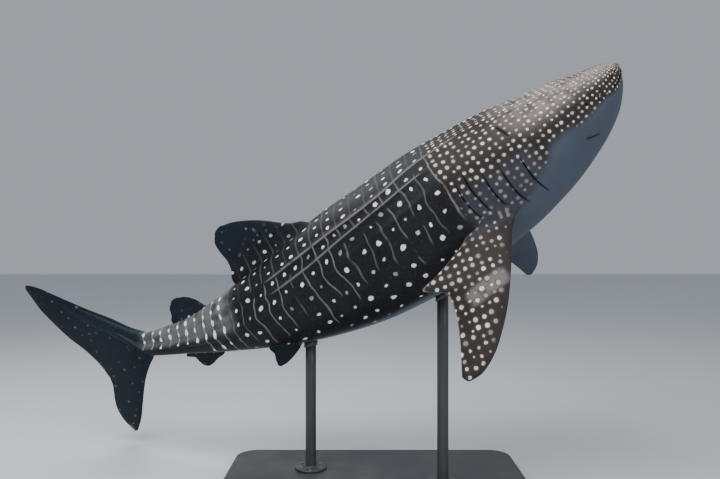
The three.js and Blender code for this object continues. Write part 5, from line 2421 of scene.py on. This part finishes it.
    def foot_bolts(self, end: str) -> Object:
        """Builds the bolts of one foot, each a washer under a six-sided head.

        Args:
            end: front or rear.

        Returns:
            The bolts as one object.
        """
        low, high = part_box(f"stand_foot_{end}")
        centre = (low + high) / 2
        circle = (high.x - low.x) / 2 * self.bolt_circle
        bm = bmesh.new()
        for index in range(self.bolts):
            turn = 2 * math.pi * (index + 0.5) / self.bolts
            spot = Vector((centre.x + circle * math.cos(turn), centre.y + circle * math.sin(turn), high.z))
            wide, flat = self.washer
            for radius, height, start, sides in ((wide, flat, 0.0, 24), (1.0, self.bolt_height, flat, 6)):
                middle = spot + Vector((0, 0, start + height / 2))
                made = disc(bm, middle, radius * self.bolt_radius, height, sides)
                edges = {edge for vert in made for edge in vert.link_edges}
                bevel(bm, edges_above(edges, spot.z + start + height), self.bolt_bevel, 2)
        return finish_mesh(bm, f"bolts_{end}", smooth=False)


@dataclass
class Studio:
    """The pale floor, the soft light and the camera of the photograph."""

    spine: Spine
    camera_ahead: float = -0.053
    camera_back: float = -0.897
    camera_above: float = 0.006
    focal_pixels: float = 650.0
    image_width: float = 720.0
    sensor: float = 36.0
    floor_size: float = 60.0

    def build(self) -> None:
        """Sets floor, light and camera."""
        self.floor()
        self.lights()
        self.camera()

    def floor(self) -> None:
        """A wide plain pale floor."""
        bm = bmesh.new()
        bmesh.ops.create_grid(bm, x_segments=4, y_segments=4, size=self.floor_size / 2)
        floor = finish_mesh(bm, "floor")
        floor.data.materials.append(FloorFinish().build())

    def lights(self) -> None:
        """Soft boxes above, in front and behind, and an even pale world."""
        world = bpy.data.worlds.new("studio")
        bpy.context.scene.world = world
        world.use_nodes = True
        sky = world.node_tree.nodes["Background"]
        sky.inputs["Color"].default_value = rgb(0.74, 0.80, 0.88)
        sky.inputs["Strength"].default_value = 0.5
        self._soft_box("key", (-1.5, -3.5, 7.5), (0.3, 0.0, 1.8), 5.0, 620.0)
        self._soft_box("fill", (5.0, -6.0, 3.5), (0.5, 0.0, 1.6), 4.0, 160.0)
        self._soft_box("back", (-3.0, 3.5, 7.0), (0.0, 0.0, 1.8), 4.0, 170.0)

    def _soft_box(self, name: str, place: tuple, aim: tuple, size: float, power: float) -> None:
        """Adds one square area light.

        Args:
            name: Its name.
            place: Where it stands.
            aim: The point that it faces.
            size: Its width.
            power: Its power in watts.
        """
        data = bpy.data.lights.new(name, "AREA")
        data.energy, data.size = power, size
        light = bpy.data.objects.new(name, data)
        light.location = place
        light.rotation_euler = (Vector(aim) - Vector(place)).to_track_quat("-Z", "Y").to_euler()
        bpy.context.scene.collection.objects.link(light)

    def camera(self) -> None:
        """The level camera that looks along +Y."""
        data = bpy.data.cameras.new("camera")
        data.sensor_width = self.sensor
        data.lens = self.focal_pixels / self.image_width * self.sensor
        camera = bpy.data.objects.new("camera", data)
        offset = np.array([self.camera_ahead, self.camera_back, self.camera_above]) * self.spine.total_length
        camera.location = Vector(self.spine.anchor + offset)
        camera.rotation_euler = (math.pi / 2, 0, 0)
        bpy.context.scene.collection.objects.link(camera)
        bpy.context.scene.camera = camera


def anchored_spine(shark: type[Shark]) -> Spine:
    """The spine set in the frame by the place of the right eye's solid.

    Args:
        shark: The class that holds the eye's place on the body.

    Returns:
        The spine.
    """
    low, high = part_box("eye_right")
    loose = Body(Spine())
    eye = loose.skin(shark.eye_station, shark.eye_angle, -shark.eye_sink)
    return Spine(anchor=np.array((low + high) / 2) - eye)


def main() -> None:
    """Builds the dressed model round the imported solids."""
    logging.basicConfig(level=logging.INFO, format="%(name)s: %(message)s")
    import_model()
    spine = anchored_spine(Shark)
    Studio(spine).build()
    groups = SharedGroups()
    skin = Shark(Body(spine)).build(groups)
    Stand().build(groups, skin)


if __name__ == "__main__":
    main()
